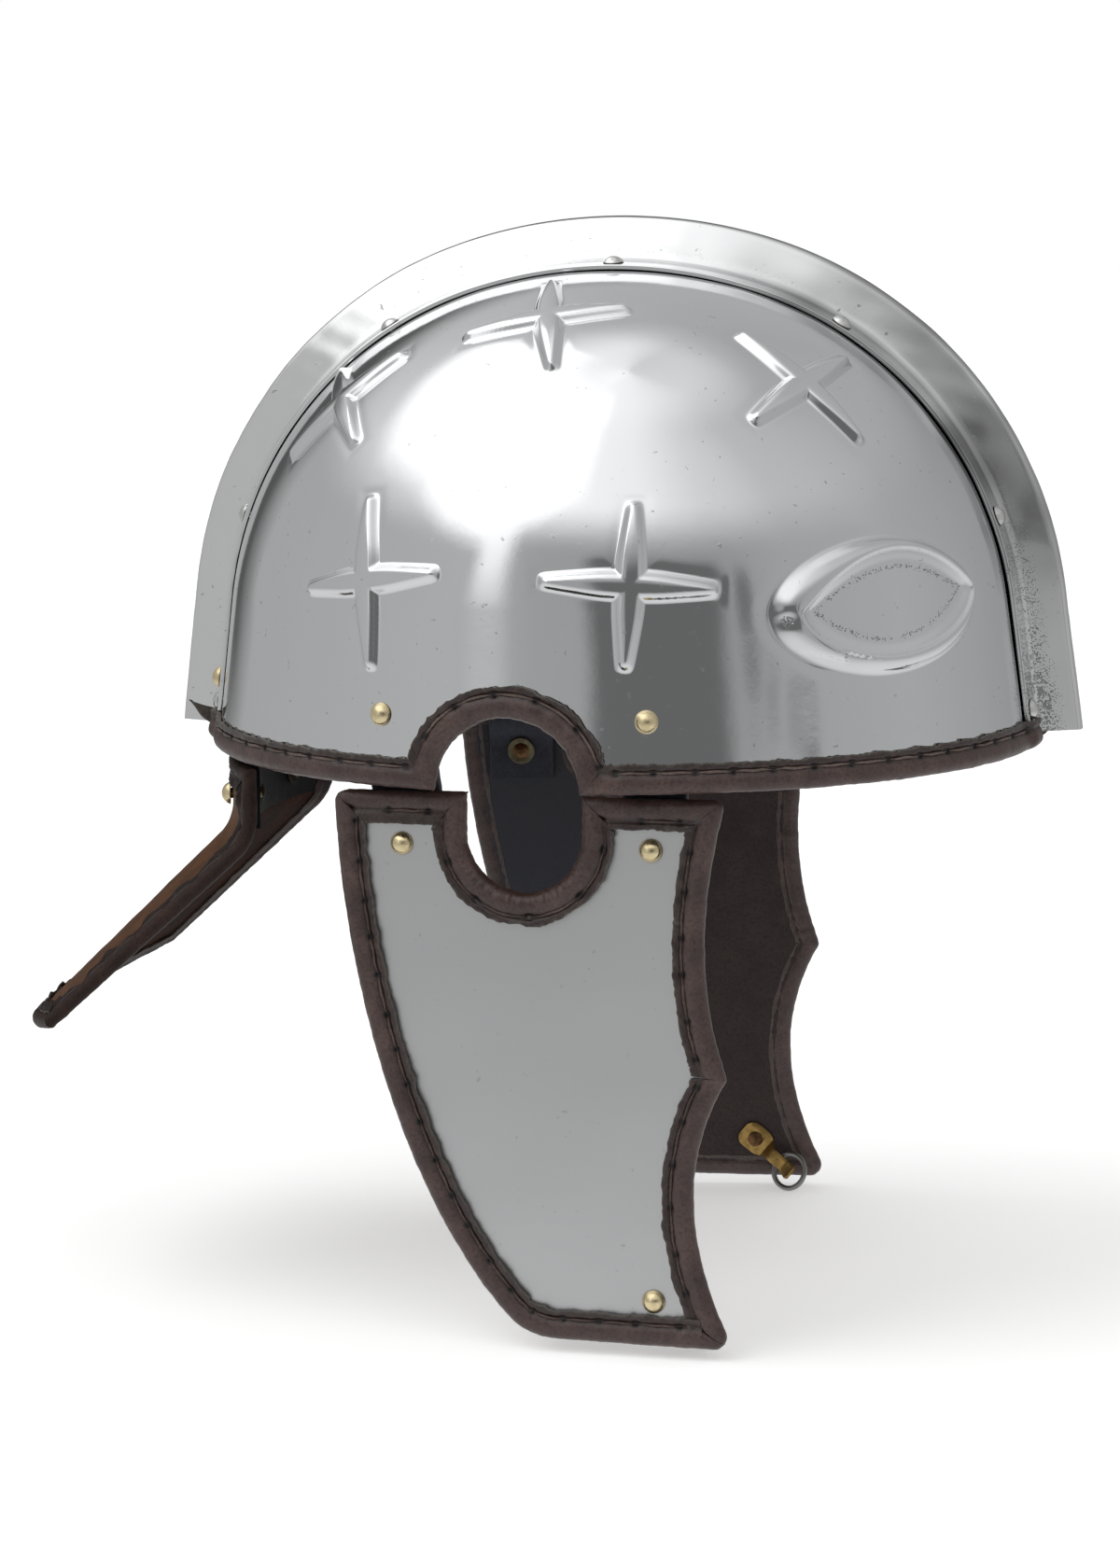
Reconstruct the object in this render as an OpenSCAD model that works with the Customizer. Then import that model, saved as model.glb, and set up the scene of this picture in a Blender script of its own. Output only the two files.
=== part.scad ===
// Ridge helmet of the late Roman kind: two steel skull halves joined by a hollow ridge,
// leather-bound rim with ear arches, cheek guards and neck guard hung on leather straps.
// Millimetres. X points to the face, Y to the wearer's left, Z up.
// The origin is the middle of the head opening, in the plane of the skull's steel edge.

/* [Skull] */
// Height of the crown above the steel edge
skull_h = 121.3; // [112:0.1:132]
// Front to back profile: radius of the crown arc
long_crown_r = 123.2; // [118:0.1:130]
// Front to back profile: radius of the shoulder arcs
long_shoulder_r = 97.1; // [93:0.1:102]
// Front to back profile: elevation at which crown and shoulder arcs meet
long_join = 73; // [68:1:78]
// Front to back profile: lean of the straight lower wall
long_lean = 7; // [4:0.5:9]
// Side to side profile: radius of the crown arc
side_crown_r = 100; // [96:0.1:106]
// Side to side profile: radius of the shoulder arcs
side_shoulder_r = 86.5; // [83:0.1:91]
// Side to side profile: elevation at which crown and shoulder arcs meet
side_join = 65; // [60:1:70]
// Side to side profile: lean of the straight lower wall
side_lean = 5; // [3:0.5:7]
// Thickness of the skull sheet
skull_t = 1.2; // [1:0.1:2]
// Seam between the two skull halves, hidden under the ridge
skull_seam = 0.6; // [0.3:0.1:1.5]

/* [Ear arch] */
// Centre of the ear arch, forward of the origin
ear_x = -14; // [-22:0.5:-6]
// Centre of the ear arch, below the steel edge
ear_drop = 4; // [2:0.5:8]
// Radius of the arch cut in the steel
ear_r = 22.3; // [20:0.1:25]

/* [Embossing] */
// Length of a star's arm from its centre
star_arm = 21.5; // [15:0.5:23]
// Half width of a star's arm where it leaves the centre
star_root = 4; // [3:0.1:5]
// Half width of a star's arm at its blunt end
star_tip = 1.7; // [1:0.1:2.5]
// Height of the stars above the skull
star_rise = 2.2; // [1:0.1:3.5]
// Half length of the eye, over its outer foot
eye_half_l = 32.5; // [26:0.5:35]
// Half height of the eye, over its outer foot
eye_half_h = 17.6; // [14:0.1:19]
// Width of the eye's raised ring
eye_ring_w = 6.6; // [5:0.1:8]
// Height of the eye's ring above the skull
eye_rise = 2.6; // [1:0.1:3.5]

/* [Ridge] */
// Height of the ridge's crest above the skull
ridge_rise = 12.2; // [9:0.1:16]
// Half width of the ridge over its flanges
ridge_half_w = 14.7; // [13:0.1:18]
// Half width of the crest's flat top
ridge_top_half_w = 2.8; // [2:0.1:4]
// Distance of the keel's foot from the middle
ridge_foot_y = 6.9; // [6:0.1:7.2]
// Thickness of the ridge sheet
ridge_t = 1.2; // [1:0.1:1.5]
// Tilt of the flanges, which follow the skull
ridge_tilt = 7; // [5:0.5:9]

/* [Rivets] */
// Distance of the ridge rivets from the middle
ridge_rivet_y = 10.9; // [10.5:0.1:11.5]
// Elevation of the low shoulder rivets, about the shoulder arc's centre
ridge_rivet_low = 20; // [14:1:28]
// Elevation of the high shoulder rivets, about the shoulder arc's centre
ridge_rivet_high = 58; // [50:1:66]
// Height of the lowest ridge rivets
ridge_rivet_z = 6.3; // [6:0.1:7]
// Diameter of the steel rivet heads
steel_head_d = 5.6; // [4.6:0.1:6]
// Height of the steel rivet heads
steel_head_h = 1.7; // [1:0.1:2.5]
// Diameter of the brass rivet heads
brass_head_d = 6; // [5:0.1:6.6]
// Height of the brass rivet heads
brass_head_h = 2.3; // [1.5:0.1:3]
// Diameter of all rivet shanks
shank_d = 2.8; // [2:0.1:3.2]
// Diameter of the washers under the rivets' inner ends
washer_d = 7.6; // [6.4:0.1:9]
// Thickness of the washers
washer_t = 0.8; // [0.5:0.1:1.2]

/* [Rim binding] */
// Thickness of the binding leather
bind_t = 1.3; // [1:0.1:1.6]
// Height of the binding's raw edge above the steel edge
rim_flap = 3.6; // [3:0.1:5]
// Height of the binding's raw edge on the ridge flanges
rim_flap_ridge = 2.7; // [2:0.1:3]
// Depth of the binding below the steel edge
rim_fold = 3.6; // [3:0.1:5]

/* [Liner] */
// Thickness of the liner leather
liner_t = 1.6; // [1:0.1:2.2]
// Lower edge of the liner band
liner_low = 27; // [26:0.5:32]
// Upper edge of the liner band
liner_high = 52; // [46:0.5:58]
// Number of liner tongues
tongue_count = 8; // [6:2:10]
// Distance of the tongues' gathered ends below the crown
tongue_drop = 18.3; // [15.3:0.1:25.3]
// Distance of the tongues' gathered ends from the middle
tongue_tip_r = 19; // [17:0.5:24]
// Diameter of the gathering lace
lace_d = 2.4; // [1.5:0.1:3]

/* [Cheek guards] */
// Distance of the cheek guard's top edge inside the steel edge
cheek_inset = 13.5; // [12:0.1:16]
// Distance of the cheek guard's top edge below the steel edge
cheek_drop = 6.4; // [6:0.1:9]
// Turn of the cheek guard, its front standing further out
cheek_yaw = 4.5; // [2:0.5:6]
// Lean of the cheek guard, its foot standing further out
cheek_lean = 2.5; // [0:0.5:5]
// Height of the cheek guard
cheek_h = 138.5; // [125:0.5:150]
// Top edge of the cheek guard: its rear end
cheek_rear = -61.5; // [-63:0.5:-59]
// Top edge of the cheek guard: its front end
cheek_front = 39.7; // [36:0.5:43]
// Middle of the ear notch
notch_u = -11.9; // [-14:0.1:-10]
// Half width of the ear notch
notch_r = 15; // [13:0.1:16]
// Depth of the ear notch
notch_deep = 24.6; // [20:0.1:28]
// Thickness of the cheek and neck plates
plate_t = 1.2; // [1:0.1:1.6]
// Thickness of the lining leather
lining_t = 1.2; // [0.8:0.1:1.6]
// Distance of the steel from the bound edge
plate_inset = 4.6; // [4:0.1:6]
// Width of the binding on the outer face
hem_out = 7.8; // [6:0.1:9]
// Width of the binding on the inner face
hem_in = 6; // [5:0.1:8]
// Distance of the upper rivets below the cheek guard's top edge
cheek_rivet_v = 13; // [12.5:0.1:15]
// Place of the rear upper rivet along the cheek guard
cheek_rivet_rear = -43.8; // [-45:0.1:-42]
// Place of the front upper rivet along the cheek guard
cheek_rivet_front = 20.6; // [19.5:0.1:22]
// Height of the lowest rivet above the cheek guard's foot
cheek_rivet_foot = 11.6; // [11.5:0.1:13]

/* [Cheek straps] */
// Width of the rear strap
rear_strap_w = 18; // [15:0.5:19]
// Width of the front strap
front_strap_w = 16.5; // [14:0.5:17]
// Thickness of the straps
strap_t = 2.4; // [1.6:0.1:3]
// Place of the rear strap's rivet in the skull, forward of the origin
skull_rivet_rear = -47.3; // [-51:0.1:-46]
// Place of the front strap's rivet in the skull, forward of the origin
skull_rivet_front = 21.1; // [18:0.1:23]
// Height of the straps' rivets in the skull
skull_rivet_z = 14; // [13:0.1:18]
// Length of strap beyond each rivet
strap_over = 8; // [6:0.1:9]

/* [Tie hooks] */
// Width of the hook's plate
hook_w = 8; // [7:0.1:10]
// Length of the hook's plate
hook_l = 13; // [11:0.5:16]
// Width of the hook's neck
hook_neck_w = 3.8; // [3:0.1:3.9]
// Thickness of the hook's sheet
hook_t = 0.9; // [0.7:0.1:1.2]
// Direction of the hook, forward and down
hook_turn = 40; // [30:1:50]
// Inner diameter of the tie ring
ring_in_d = 8.4; // [8:0.1:10]
// Diameter of the ring's wire
ring_wire_d = 1.5; // [1:0.1:1.8]

/* [Neck guard] */
// Distance of the neck guard's back inside the steel edge
neck_inset = 4; // [3.5:0.1:7]
// Distance of the neck guard's top below the steel edge
neck_drop = 6.6; // [6:0.1:9]
// Height of the upright part of the neck guard
neck_upright = 19; // [17:0.5:24]
// Reach of the flared part, back and down
neck_flare = 78; // [60:0.5:90]
// Slope of the flared part below the level
neck_slope = 44; // [35:1:55]
// Length over which the upright part bends into the flare, half of it each side
neck_bend = 7; // [4:0.5:9]
// Thickness of the leather on both faces of the neck guard
neck_skin_t = 0.8; // [0.5:0.1:1.2]
// Thickness of the binding leather round the neck guard
neck_bind_t = 1; // [0.8:0.1:1.3]
// Width of that binding on both faces
neck_hem = 7; // [5:0.1:9]
// Half width of the upright part
neck_half_w = 45; // [40:0.5:50]
// Half width at the hem
neck_hem_half_w = 61; // [54:0.5:68]
// Radius of the upright part, seen from above
neck_r = 84; // [78:0.5:95]
// Radius of the hem, seen from above
neck_hem_r = 121; // [110:1:140]
// Rise of the hem's corners
neck_corner_rise = 7; // [3:0.5:10]
// Half distance between the neck guard's rivets
neck_rivet_y = 21; // [16:0.5:25]
// Distance of those rivets below the neck guard's top
neck_rivet_v = 10.4; // [10.2:0.1:10.8]
// Width of the neck strap
neck_strap_w = 62; // [56:0.5:66]
// Height of the brass rivets that hold the neck strap, in the ridge
neck_top_rivet_z = 12.6; // [12.4:0.1:14]

/* [Hidden] */
$fn = 48;
// Clearance between stacked sheets and leather
gap = 0.2;
// Clearance of leather glued to a plate
skin_gap = 0.1;
// Clearance of a rivet shank in its hole, on the diameter
hole_gap = 0.3;
// Depth to which embossings reach into the sheet
root_sink = 0.6;
// Reach of a cut beyond what it cuts
through = 4;
// Step for slopes found by difference
tiny = 0.01;

steel = [0.78, 0.79, 0.8];
satin = [0.62, 0.63, 0.64];
brass = [0.86, 0.72, 0.38];
leather = [0.33, 0.25, 0.24];
tan_leather = [0.42, 0.25, 0.13];
navy = [0.13, 0.14, 0.18];
dark_steel = [0.35, 0.36, 0.36];

// Vectors and lists

function lerp(a, b, t) = a + (b - a) * t;
function unit(v) = v / norm(v);
function flat(list) = [for (part = list) for (item = part) item];
function bow(a, control, b, t) = lerp(lerp(a, control, t), lerp(control, b, t), t);

// Faces of a quadrilateral, corners clockwise from outside
function quad(a, b, c, d) = [[a, b, c], [a, c, d]];

// A sheet between two equal grids of points, rows by columns, closed all round its edge
module sheet(outer, inner) {
    rows = len(outer);
    cols = len(outer[0]);
    in0 = rows * cols;
    function at(j, i) = j * cols + i;
    polyhedron(
        concat(flat(outer), flat(inner)),
        concat(
            [for (j = [0:rows - 2], i = [0:cols - 2], f = concat(
                quad(at(j, i), at(j, i + 1), at(j + 1, i + 1), at(j + 1, i)),
                quad(in0 + at(j + 1, i), in0 + at(j + 1, i + 1), in0 + at(j, i + 1), in0 + at(j, i))
            )) f],
            [for (i = [0:cols - 2], f = concat(
                quad(at(0, i + 1), at(0, i), in0 + at(0, i), in0 + at(0, i + 1)),
                quad(at(rows - 1, i), at(rows - 1, i + 1), in0 + at(rows - 1, i + 1), in0 + at(rows - 1, i))
            )) f],
            [for (j = [0:rows - 2], f = concat(
                quad(at(j, 0), at(j + 1, 0), in0 + at(j + 1, 0), in0 + at(j, 0)),
                quad(at(j + 1, cols - 1), at(j, cols - 1), in0 + at(j, cols - 1), in0 + at(j + 1, cols - 1))
            )) f]
        )
    );
}

// A folded strip of leather: ten-cornered sections along a path, closed in a loop or capped
module fold(rings, closed) {
    count = len(rings);
    sides = len(rings[0]);
    last = closed ? count - 1 : count - 2;
    function at(j, i) = (j % count) * sides + i % sides;
    end = at(count - 1, 0);
    cap = concat(
        quad(0, 1, 8, 9), [[1, 2, 8]], quad(2, 3, 7, 8), [[3, 4, 7]], quad(4, 5, 6, 7)
    );
    polyhedron(
        flat(rings),
        concat(
            [for (j = [0:last], i = [0:sides - 1], f =
                quad(at(j, i), at(j + 1, i), at(j + 1, i + 1), at(j, i + 1))) f],
            closed ? [] : [for (f = cap) f],
            closed ? [] : [for (f = cap) [end + f[2], end + f[1], end + f[0]]]
        )
    );
}

// Section of folded leather, across and inward: outer and inner half thickness,
// widths of the two flaps, depth of the fold, floor of the slot, rise of the outer flap
function fold_section(out, slot, flap_out, flap_in, edge, floor, lift) = [
    [out + lift, flap_out], [out + lift, edge + out * 0.7], [out * 0.55, edge],
    [-out * 0.55, edge], [-out, edge + out * 0.7], [-out, flap_in],
    [-slot, flap_in], [-slot, floor], [slot + lift, floor], [slot + lift, flap_out]
];

// Stands its children on a point, their Z along a direction
module place(p, n) {
    translate(p) rotate([0, acos(n.z), atan2(n.y, n.x)]) children();
}

// Skull surface

// Profile of two shoulder arcs and a crown arc, leaning straight below
function profile(crown, shoulder, join, lean) =
    let (
        base = skull_h - crown,
        shift = (crown - shoulder) * cos(join),
        mid = base + (crown - shoulder) * sin(join)
    )
    [crown, shoulder, base, shift, mid, base + crown * sin(join),
        mid + shoulder * sin(lean), shift + shoulder * cos(lean), tan(lean)];

long = profile(long_crown_r, long_shoulder_r, long_join, long_lean);
side = profile(side_crown_r, side_shoulder_r, side_join, side_lean);

// Half width of a profile at a height
function half(p, z) =
    z > p[5] ? sqrt(max(0, p[0] ^ 2 - (z - p[2]) ^ 2))
    : z > p[6] ? p[3] + sqrt(p[1] ^ 2 - (z - p[4]) ^ 2)
    : p[7] + p[8] * (p[6] - z);

// Growth of that half width with height
function slope(p, z) =
    z > p[5] ? -(z - p[2]) / half(p, z)
    : z > p[6] ? -(z - p[4]) / (half(p, z) - p[3])
    : -p[8];

// Outer face of the skull: direction from the face round over the right side, and height
function skull_point(phi, z) = [half(long, z) * cos(phi), -half(side, z) * sin(phi), z];
function skull_out(phi, z) =
    let (a = half(long, z), b = half(side, z))
    unit([
        cos(phi) / a,
        -sin(phi) / b,
        -cos(phi) ^ 2 * slope(long, z) / a - sin(phi) ^ 2 * slope(side, z) / b
    ]);
function skull_deep(phi, z, depth) = skull_point(phi, z) - skull_out(phi, z) * depth;
function phi_of(x, z) = acos(x / half(long, z));

// Distance measure that is nought on the skull's outer face
function off_skull(p) = (p.x / half(long, p.z)) ^ 2 + (p.y / half(side, p.z)) ^ 2 - 1;
function seat(p, n, steps = 6) =
    steps == 0 ? p
    : let (here = off_skull(p), rate = (off_skull(p + n * tiny) - here) / tiny)
        seat(p - n * here / rate, n, steps - 1);

// Edge of the right half, from the face round to the nape, with the ear arch
front_cols = 15;
arch_cols = 12;
back_cols = 13;
skull_cols = front_cols + arch_cols + back_cols;
skull_rows = 17;
// Height at which the ear arch no longer shapes the rows
arch_fade = 60;
arch_start = asin(ear_drop / ear_r);
function arch_turn(i) = lerp(arch_start, 180 - arch_start, (i - front_cols) / arch_cols);
function arch_x(i) = ear_x + ear_r * cos(arch_turn(i));
function arch_z(i) = -ear_drop + ear_r * sin(arch_turn(i));
phi_arch_front = phi_of(arch_x(front_cols), 0);
phi_arch_back = phi_of(arch_x(front_cols + arch_cols), 0);
function rim(i) =
    i <= front_cols ? [phi_arch_front * i / front_cols, 0]
    : i < front_cols + arch_cols ? [phi_of(arch_x(i), arch_z(i)), arch_z(i)]
    : [lerp(phi_arch_back, 180, (i - front_cols - arch_cols) / back_cols), 0];

// Distance from the seam over which the half stands off it near the crown
seam_fade = 20;
function half_point(phi, z, depth) =
    let (b = half(side, z), g = skull_seam / 2)
    skull_deep(phi, z, depth) - [0, g * (1 - sin(phi) * min(1, b / seam_fade)), 0];

module skull_half() {
    cols = skull_cols + 1;
    grid = [for (depth = [0, skull_t], j = [0:skull_rows - 1], i = [0:skull_cols])
        let (
            z = skull_h * sin(90 * j / skull_rows),
            edge = rim(i),
            t = min(1, z / arch_fade)
        )
        half_point(lerp(edge[0], 180 * i / skull_cols, t), z + edge[1] * (1 - t), depth)];
    crown = [for (depth = [0, skull_t]) [0, -skull_seam / 2, skull_h - depth]];
    in0 = skull_rows * cols;
    top = 2 * in0;
    high = (skull_rows - 1) * cols;
    function at(j, i) = j * cols + i;
    polyhedron(
        concat(grid, crown),
        concat(
            [for (j = [0:skull_rows - 2], i = [0:skull_cols - 1], f = concat(
                quad(at(j, i), at(j, i + 1), at(j + 1, i + 1), at(j + 1, i)),
                quad(in0 + at(j + 1, i), in0 + at(j + 1, i + 1), in0 + at(j, i + 1), in0 + at(j, i))
            )) f],
            [for (i = [0:skull_cols - 1], f = concat(
                quad(at(0, i + 1), at(0, i), in0 + at(0, i), in0 + at(0, i + 1)),
                [[high + i, high + i + 1, top], [top + 1, in0 + high + i + 1, in0 + high + i]]
            )) f],
            [for (j = [0:skull_rows - 2], f = concat(
                quad(at(j, 0), at(j + 1, 0), in0 + at(j + 1, 0), in0 + at(j, 0)),
                quad(at(j + 1, cols - 1), at(j, cols - 1), in0 + at(j, cols - 1),
                    in0 + at(j + 1, cols - 1))
            )) f],
            quad(high, top, top + 1, in0 + high),
            quad(top, high + cols - 1, in0 + high + cols - 1, top + 1)
        )
    );
}

// Embossings: direction, share of the skull's height, turn
stars = [[120.5, 0.386, 9], [80.4, 0.389, -4], [102.2, 0.907, 19], [145.5, 0.73, -29],
    [43.3, 0.769, 25]];
eye_place = [43, 0.327];

// Point at a place on the skull's tangent plane, seated on the skull and raised
function tangent_point(phi, z, uv, rise) =
    let (
        n = skull_out(phi, z),
        across = unit(cross([0, 0, 1], n)),
        up = cross(n, across)
    )
    seat(skull_point(phi, z) + across * uv[0] + up * uv[1], n) + n * rise;

// Outline of a star, shrunk by an inset
star_mid = star_arm * 0.55;
function star_outline(inset, turn) = [for (k = [0:3], p = [
        [star_root - inset, -star_root + inset],
        [star_mid, -lerp(star_root, star_tip, 0.55) + inset],
        [star_arm - inset, -star_tip + inset * 0.7],
        [star_arm - inset, star_tip - inset * 0.7],
        [star_mid, lerp(star_root, star_tip, 0.55) - inset]
    ])
    let (a = 90 * k + turn)
    [p[0] * cos(a) - p[1] * sin(a), p[0] * sin(a) + p[1] * cos(a)]];

module star(phi, z, turn) {
    // Slope of the embossing's flanks, as an inset on its top
    flank = star_tip * 0.75;
    foot = star_outline(0, turn);
    top = star_outline(flank, turn);
    n = len(foot);
    points = concat(
        [for (p = foot) tangent_point(phi, z, p, -root_sink)],
        [for (k = [0:n - 1]) tangent_point(phi, z, top[k],
            star_rise * (k % 5 == 2 || k % 5 == 3 ? 0.45 : k % 5 == 0 ? 0.75 : 1))],
        [tangent_point(phi, z, [0, 0], star_rise), tangent_point(phi, z, [0, 0], -root_sink)]
    );
    polyhedron(points, [for (k = [0:n - 1], f = concat(
        quad(k, n + k, n + (k + 1) % n, (k + 1) % n),
        [[n + k, 2 * n, n + (k + 1) % n], [k, (k + 1) % n, 2 * n + 1]]
    )) f]);
}

// The eye: a raised ring, its outside oval and its inside pointed like an almond
eye_steps = 28;
// Power that draws the inner edge to points
eye_point = 1.5;
module eye() {
    phi = eye_place[0];
    z = skull_h * eye_place[1];
    function oval(t, grow) = [(eye_half_l + grow) * cos(t), (eye_half_h + grow) * sin(t)];
    function almond(t, grow) =
        let (l = eye_half_l - eye_ring_w + grow, h = eye_half_h - eye_ring_w + grow)
        [l * cos(t), h * sign(sin(t)) * abs(sin(t)) ^ eye_point];
    rings = [for (k = [0:eye_steps - 1]) let (t = 360 * k / eye_steps) [
        tangent_point(phi, z, oval(t, 0), -root_sink),
        tangent_point(phi, z, oval(t, -eye_ring_w * 0.45), eye_rise),
        tangent_point(phi, z, almond(t, 0.6), eye_rise * 0.85),
        tangent_point(phi, z, almond(t, -0.6), -root_sink)
    ]];
    polyhedron(flat(rings), [for (k = [0:eye_steps - 1], i = [0:3], f =
        let (next = (k + 1) % eye_steps, up = (i + 1) % 4)
        quad(4 * k + i, 4 * k + up, 4 * next + up, 4 * next + i)
    ) f]);
}

// Ridge

flange_rise = gap - ridge_rivet_y ^ 2 / (2 * side_crown_r);
// Inner face of the flange above the skull's long profile, at a distance from the middle
function flange_in(y) = flange_rise - tan(ridge_tilt) * (y - ridge_rivet_y);
flange_out = flange_in(ridge_rivet_y) + ridge_t;
// Radius where the keel leaves its flanges
ridge_fillet = 1.2;
// Bevel along the crest
crest_bevel = 0.6;
keel_low = [ridge_foot_y, flange_in(ridge_foot_y) + ridge_t + ridge_fillet];
keel_high = [ridge_top_half_w, ridge_rise - crest_bevel];
keel_dir = unit(keel_high - keel_low);
keel_in = keel_low + ridge_t * [-keel_dir[1], keel_dir[0]];
function keel_inner(h) = keel_in[0] + (h - keel_in[1]) * keel_dir[0] / keel_dir[1];

// Half section, distance from the middle and height over the long profile
ridge_side = [
    [ridge_half_w, flange_in(ridge_half_w)],
    [ridge_half_w, flange_in(ridge_half_w) + ridge_t],
    [ridge_foot_y + ridge_fillet, flange_in(ridge_foot_y + ridge_fillet) + ridge_t],
    [ridge_foot_y + ridge_fillet * 0.3, flange_in(ridge_foot_y) + ridge_t + ridge_fillet * 0.3],
    keel_low,
    keel_high,
    [ridge_top_half_w - crest_bevel, ridge_rise]
];
ridge_inside = [
    [keel_inner(ridge_rise - ridge_t), ridge_rise - ridge_t],
    [keel_inner(flange_in(ridge_foot_y)), flange_in(ridge_foot_y)]
];

// Whole section, round from the right flange over the crest and back inside
ridge_round = concat(
    ridge_side,
    [for (k = [len(ridge_side) - 1:-1:0]) [-ridge_side[k][0], ridge_side[k][1]]],
    [for (k = [1:-1:0]) [-ridge_inside[k][0], ridge_inside[k][1]]],
    ridge_inside
);
ridge_cap = [[0, 1, 2], [0, 2, 17], [17, 2, 3], [17, 3, 4], [17, 4, 5], [17, 5, 16],
    [16, 5, 6], [16, 6, 7], [16, 7, 15], [15, 7, 8], [15, 8, 9], [15, 9, 14],
    [14, 9, 10], [14, 10, 11], [11, 12, 13], [11, 13, 14]];
shoulder_steps = 16;
crown_steps = 9;

// Section standing on an arc of the long profile
function ridge_ring(x, z, r, e) = [for (q = ridge_round)
    [x + (r + q[1]) * cos(e), -q[0], z + (r + q[1]) * sin(e)]];
// Section at the foot of a leg, cut level with the steel edge
ridge_foot_ring = [for (q = ridge_round) [
    half(long, 0) + q[1] / cos(long_lean), -q[0], 0]];
ridge_rings_front = concat(
    [ridge_foot_ring],
    [for (k = [0:shoulder_steps])
        ridge_ring(long[3], long[4], long_shoulder_r, lerp(long_lean, long_join, k / shoulder_steps))]
);
ridge_rings = concat(
    ridge_rings_front,
    [for (k = [1:crown_steps - 1])
        ridge_ring(0, long[2], long_crown_r, lerp(long_join, 180 - long_join, k / crown_steps))],
    [for (k = [len(ridge_rings_front) - 1:-1:0]) [for (p = ridge_rings_front[k]) [-p.x, p.y, p.z]]]
);

module ridge_shell() {
    sides = len(ridge_round);
    count = len(ridge_rings);
    end = (count - 1) * sides;
    polyhedron(
        flat(ridge_rings),
        concat(
            [for (j = [0:count - 2], i = [0:sides - 1], f = quad(j * sides + i,
                j * sides + (i + 1) % sides, (j + 1) * sides + (i + 1) % sides,
                (j + 1) * sides + i)) f],
            [for (f = ridge_cap) [f[2], f[1], f[0]]],
            [for (f = ridge_cap) [end + f[0], end + f[1], end + f[2]]]
        )
    );
}

// Places on the ridge's rivet lines: distance forward, height and elevation
function on_shoulder(e) = [
    long[3] + long_shoulder_r * cos(e), long[4] + long_shoulder_r * sin(e), e];
function on_leg(z) =
    let (foot = z - flange_out * sin(long_lean))
    [half(long, foot), foot, long_lean];
function behind(p) = [-p[0], p[1], 180 - p[2]];
ridge_front = [on_leg(ridge_rivet_z), on_shoulder(ridge_rivet_low),
    on_shoulder(ridge_rivet_high)];
ridge_places = concat(ridge_front, [[0, skull_h, 90]], [for (p = ridge_front) behind(p)]);

// Seat and direction of a rivet on the right flange
function ridge_out(e) = [
    cos(e) * cos(ridge_tilt), -sin(ridge_tilt), sin(e) * cos(ridge_tilt)];
function ridge_seat(p) =
    [p[0] + flange_out * cos(p[2]), -ridge_rivet_y, p[1] + flange_out * sin(p[2])];

// Depth from a flange's face through the skull at the rivet line
ridge_grip = flange_out + ridge_rivet_y ^ 2 / (2 * side_crown_r) + skull_t;

module ridge_holes(depth) {
    for (p = concat(ridge_places, [behind(on_leg(neck_top_rivet_z))])) {
        place(ridge_seat(p), ridge_out(p[2])) translate([0, 0, -depth])
            cylinder(d = shank_d + hole_gap, h = depth + through);
    }
}

// Rivets

// Domed head, its flat face on the plane Z = 0
module head(d, h) {
    r = (d * d / 4 + h * h) / (2 * h);
    intersection() {
        translate([0, 0, h - r]) sphere(r);
        cylinder(d = d + 1, h = h + 1);
    }
}

// Rivet through a stack of a given depth, peened beyond it
module rivet(d, h, grip, tail) {
    translate([0, 0, skin_gap]) head(d, h);
    translate([0, 0, -grip]) cylinder(d = shank_d, h = grip + skin_gap + h / 2);
    if (tail > 0) {
        translate([0, 0, -grip]) mirror([0, 0, 1]) head(shank_d * 1.6, tail);
    }
}

module washer() {
    difference() {
        cylinder(d = washer_d, h = washer_t);
        translate([0, 0, -through]) cylinder(d = shank_d + hole_gap, h = 2 * through);
    }
}

// Height of a peened rivet end
tail_h = 0.9;

module ridge_rivets() {
    for (p = ridge_places) {
        place(ridge_seat(p), ridge_out(p[2])) rivet(steel_head_d, steel_head_h, ridge_grip, 0);
    }
}

// Rim binding

rim_out = skull_t / 2 + gap + bind_t;
rim_slot = skull_t / 2 + gap;
// Rise of the binding where it also wraps a flange of the ridge
flange_lift = ridge_t + 2 * gap;
// Width of the binding's raw edge round the ear arch
arch_flap = rim_flap + 0.6;
// Distance from the middle at which the binding starts beside the keel
rim_start = ridge_foot_y + ridge_fillet + gap;
// Distance over which the binding comes down beyond the flange
rim_step = 1.2;

// Path of the binding as [direction, height, width of the outer flap, rise, corner]
function rim_near(y, flap, lift) = [asin(y / half(side, 0)), 0, flap, lift, false];
rim_front = [
    rim_near(rim_start, rim_flap_ridge, flange_lift),
    rim_near(ridge_half_w + gap, rim_flap_ridge, flange_lift),
    rim_near(ridge_half_w + gap + rim_step, rim_flap_ridge, 0)
];
rim_mid = [for (i = [3:skull_cols - 3]) let (
        arch = i >= front_cols && i <= front_cols + arch_cols,
        corner = i == front_cols || i == front_cols + arch_cols
    ) [rim(i)[0], rim(i)[1], arch && !corner ? arch_flap : rim_flap, 0, corner]];
rim_path = concat(rim_front, rim_mid,
    [for (k = [2:-1:0]) [180 - rim_front[k][0], 0, rim_front[k][2], rim_front[k][3], false]]);

function rim_mid_point(k) = skull_deep(rim_path[k][0], rim_path[k][1], skull_t / 2);
function rim_inward(k, from, to) =
    let (n = skull_out(rim_path[k][0], rim_path[k][1]))
    unit(cross(unit(rim_mid_point(to) - rim_mid_point(from)), n));

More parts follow.
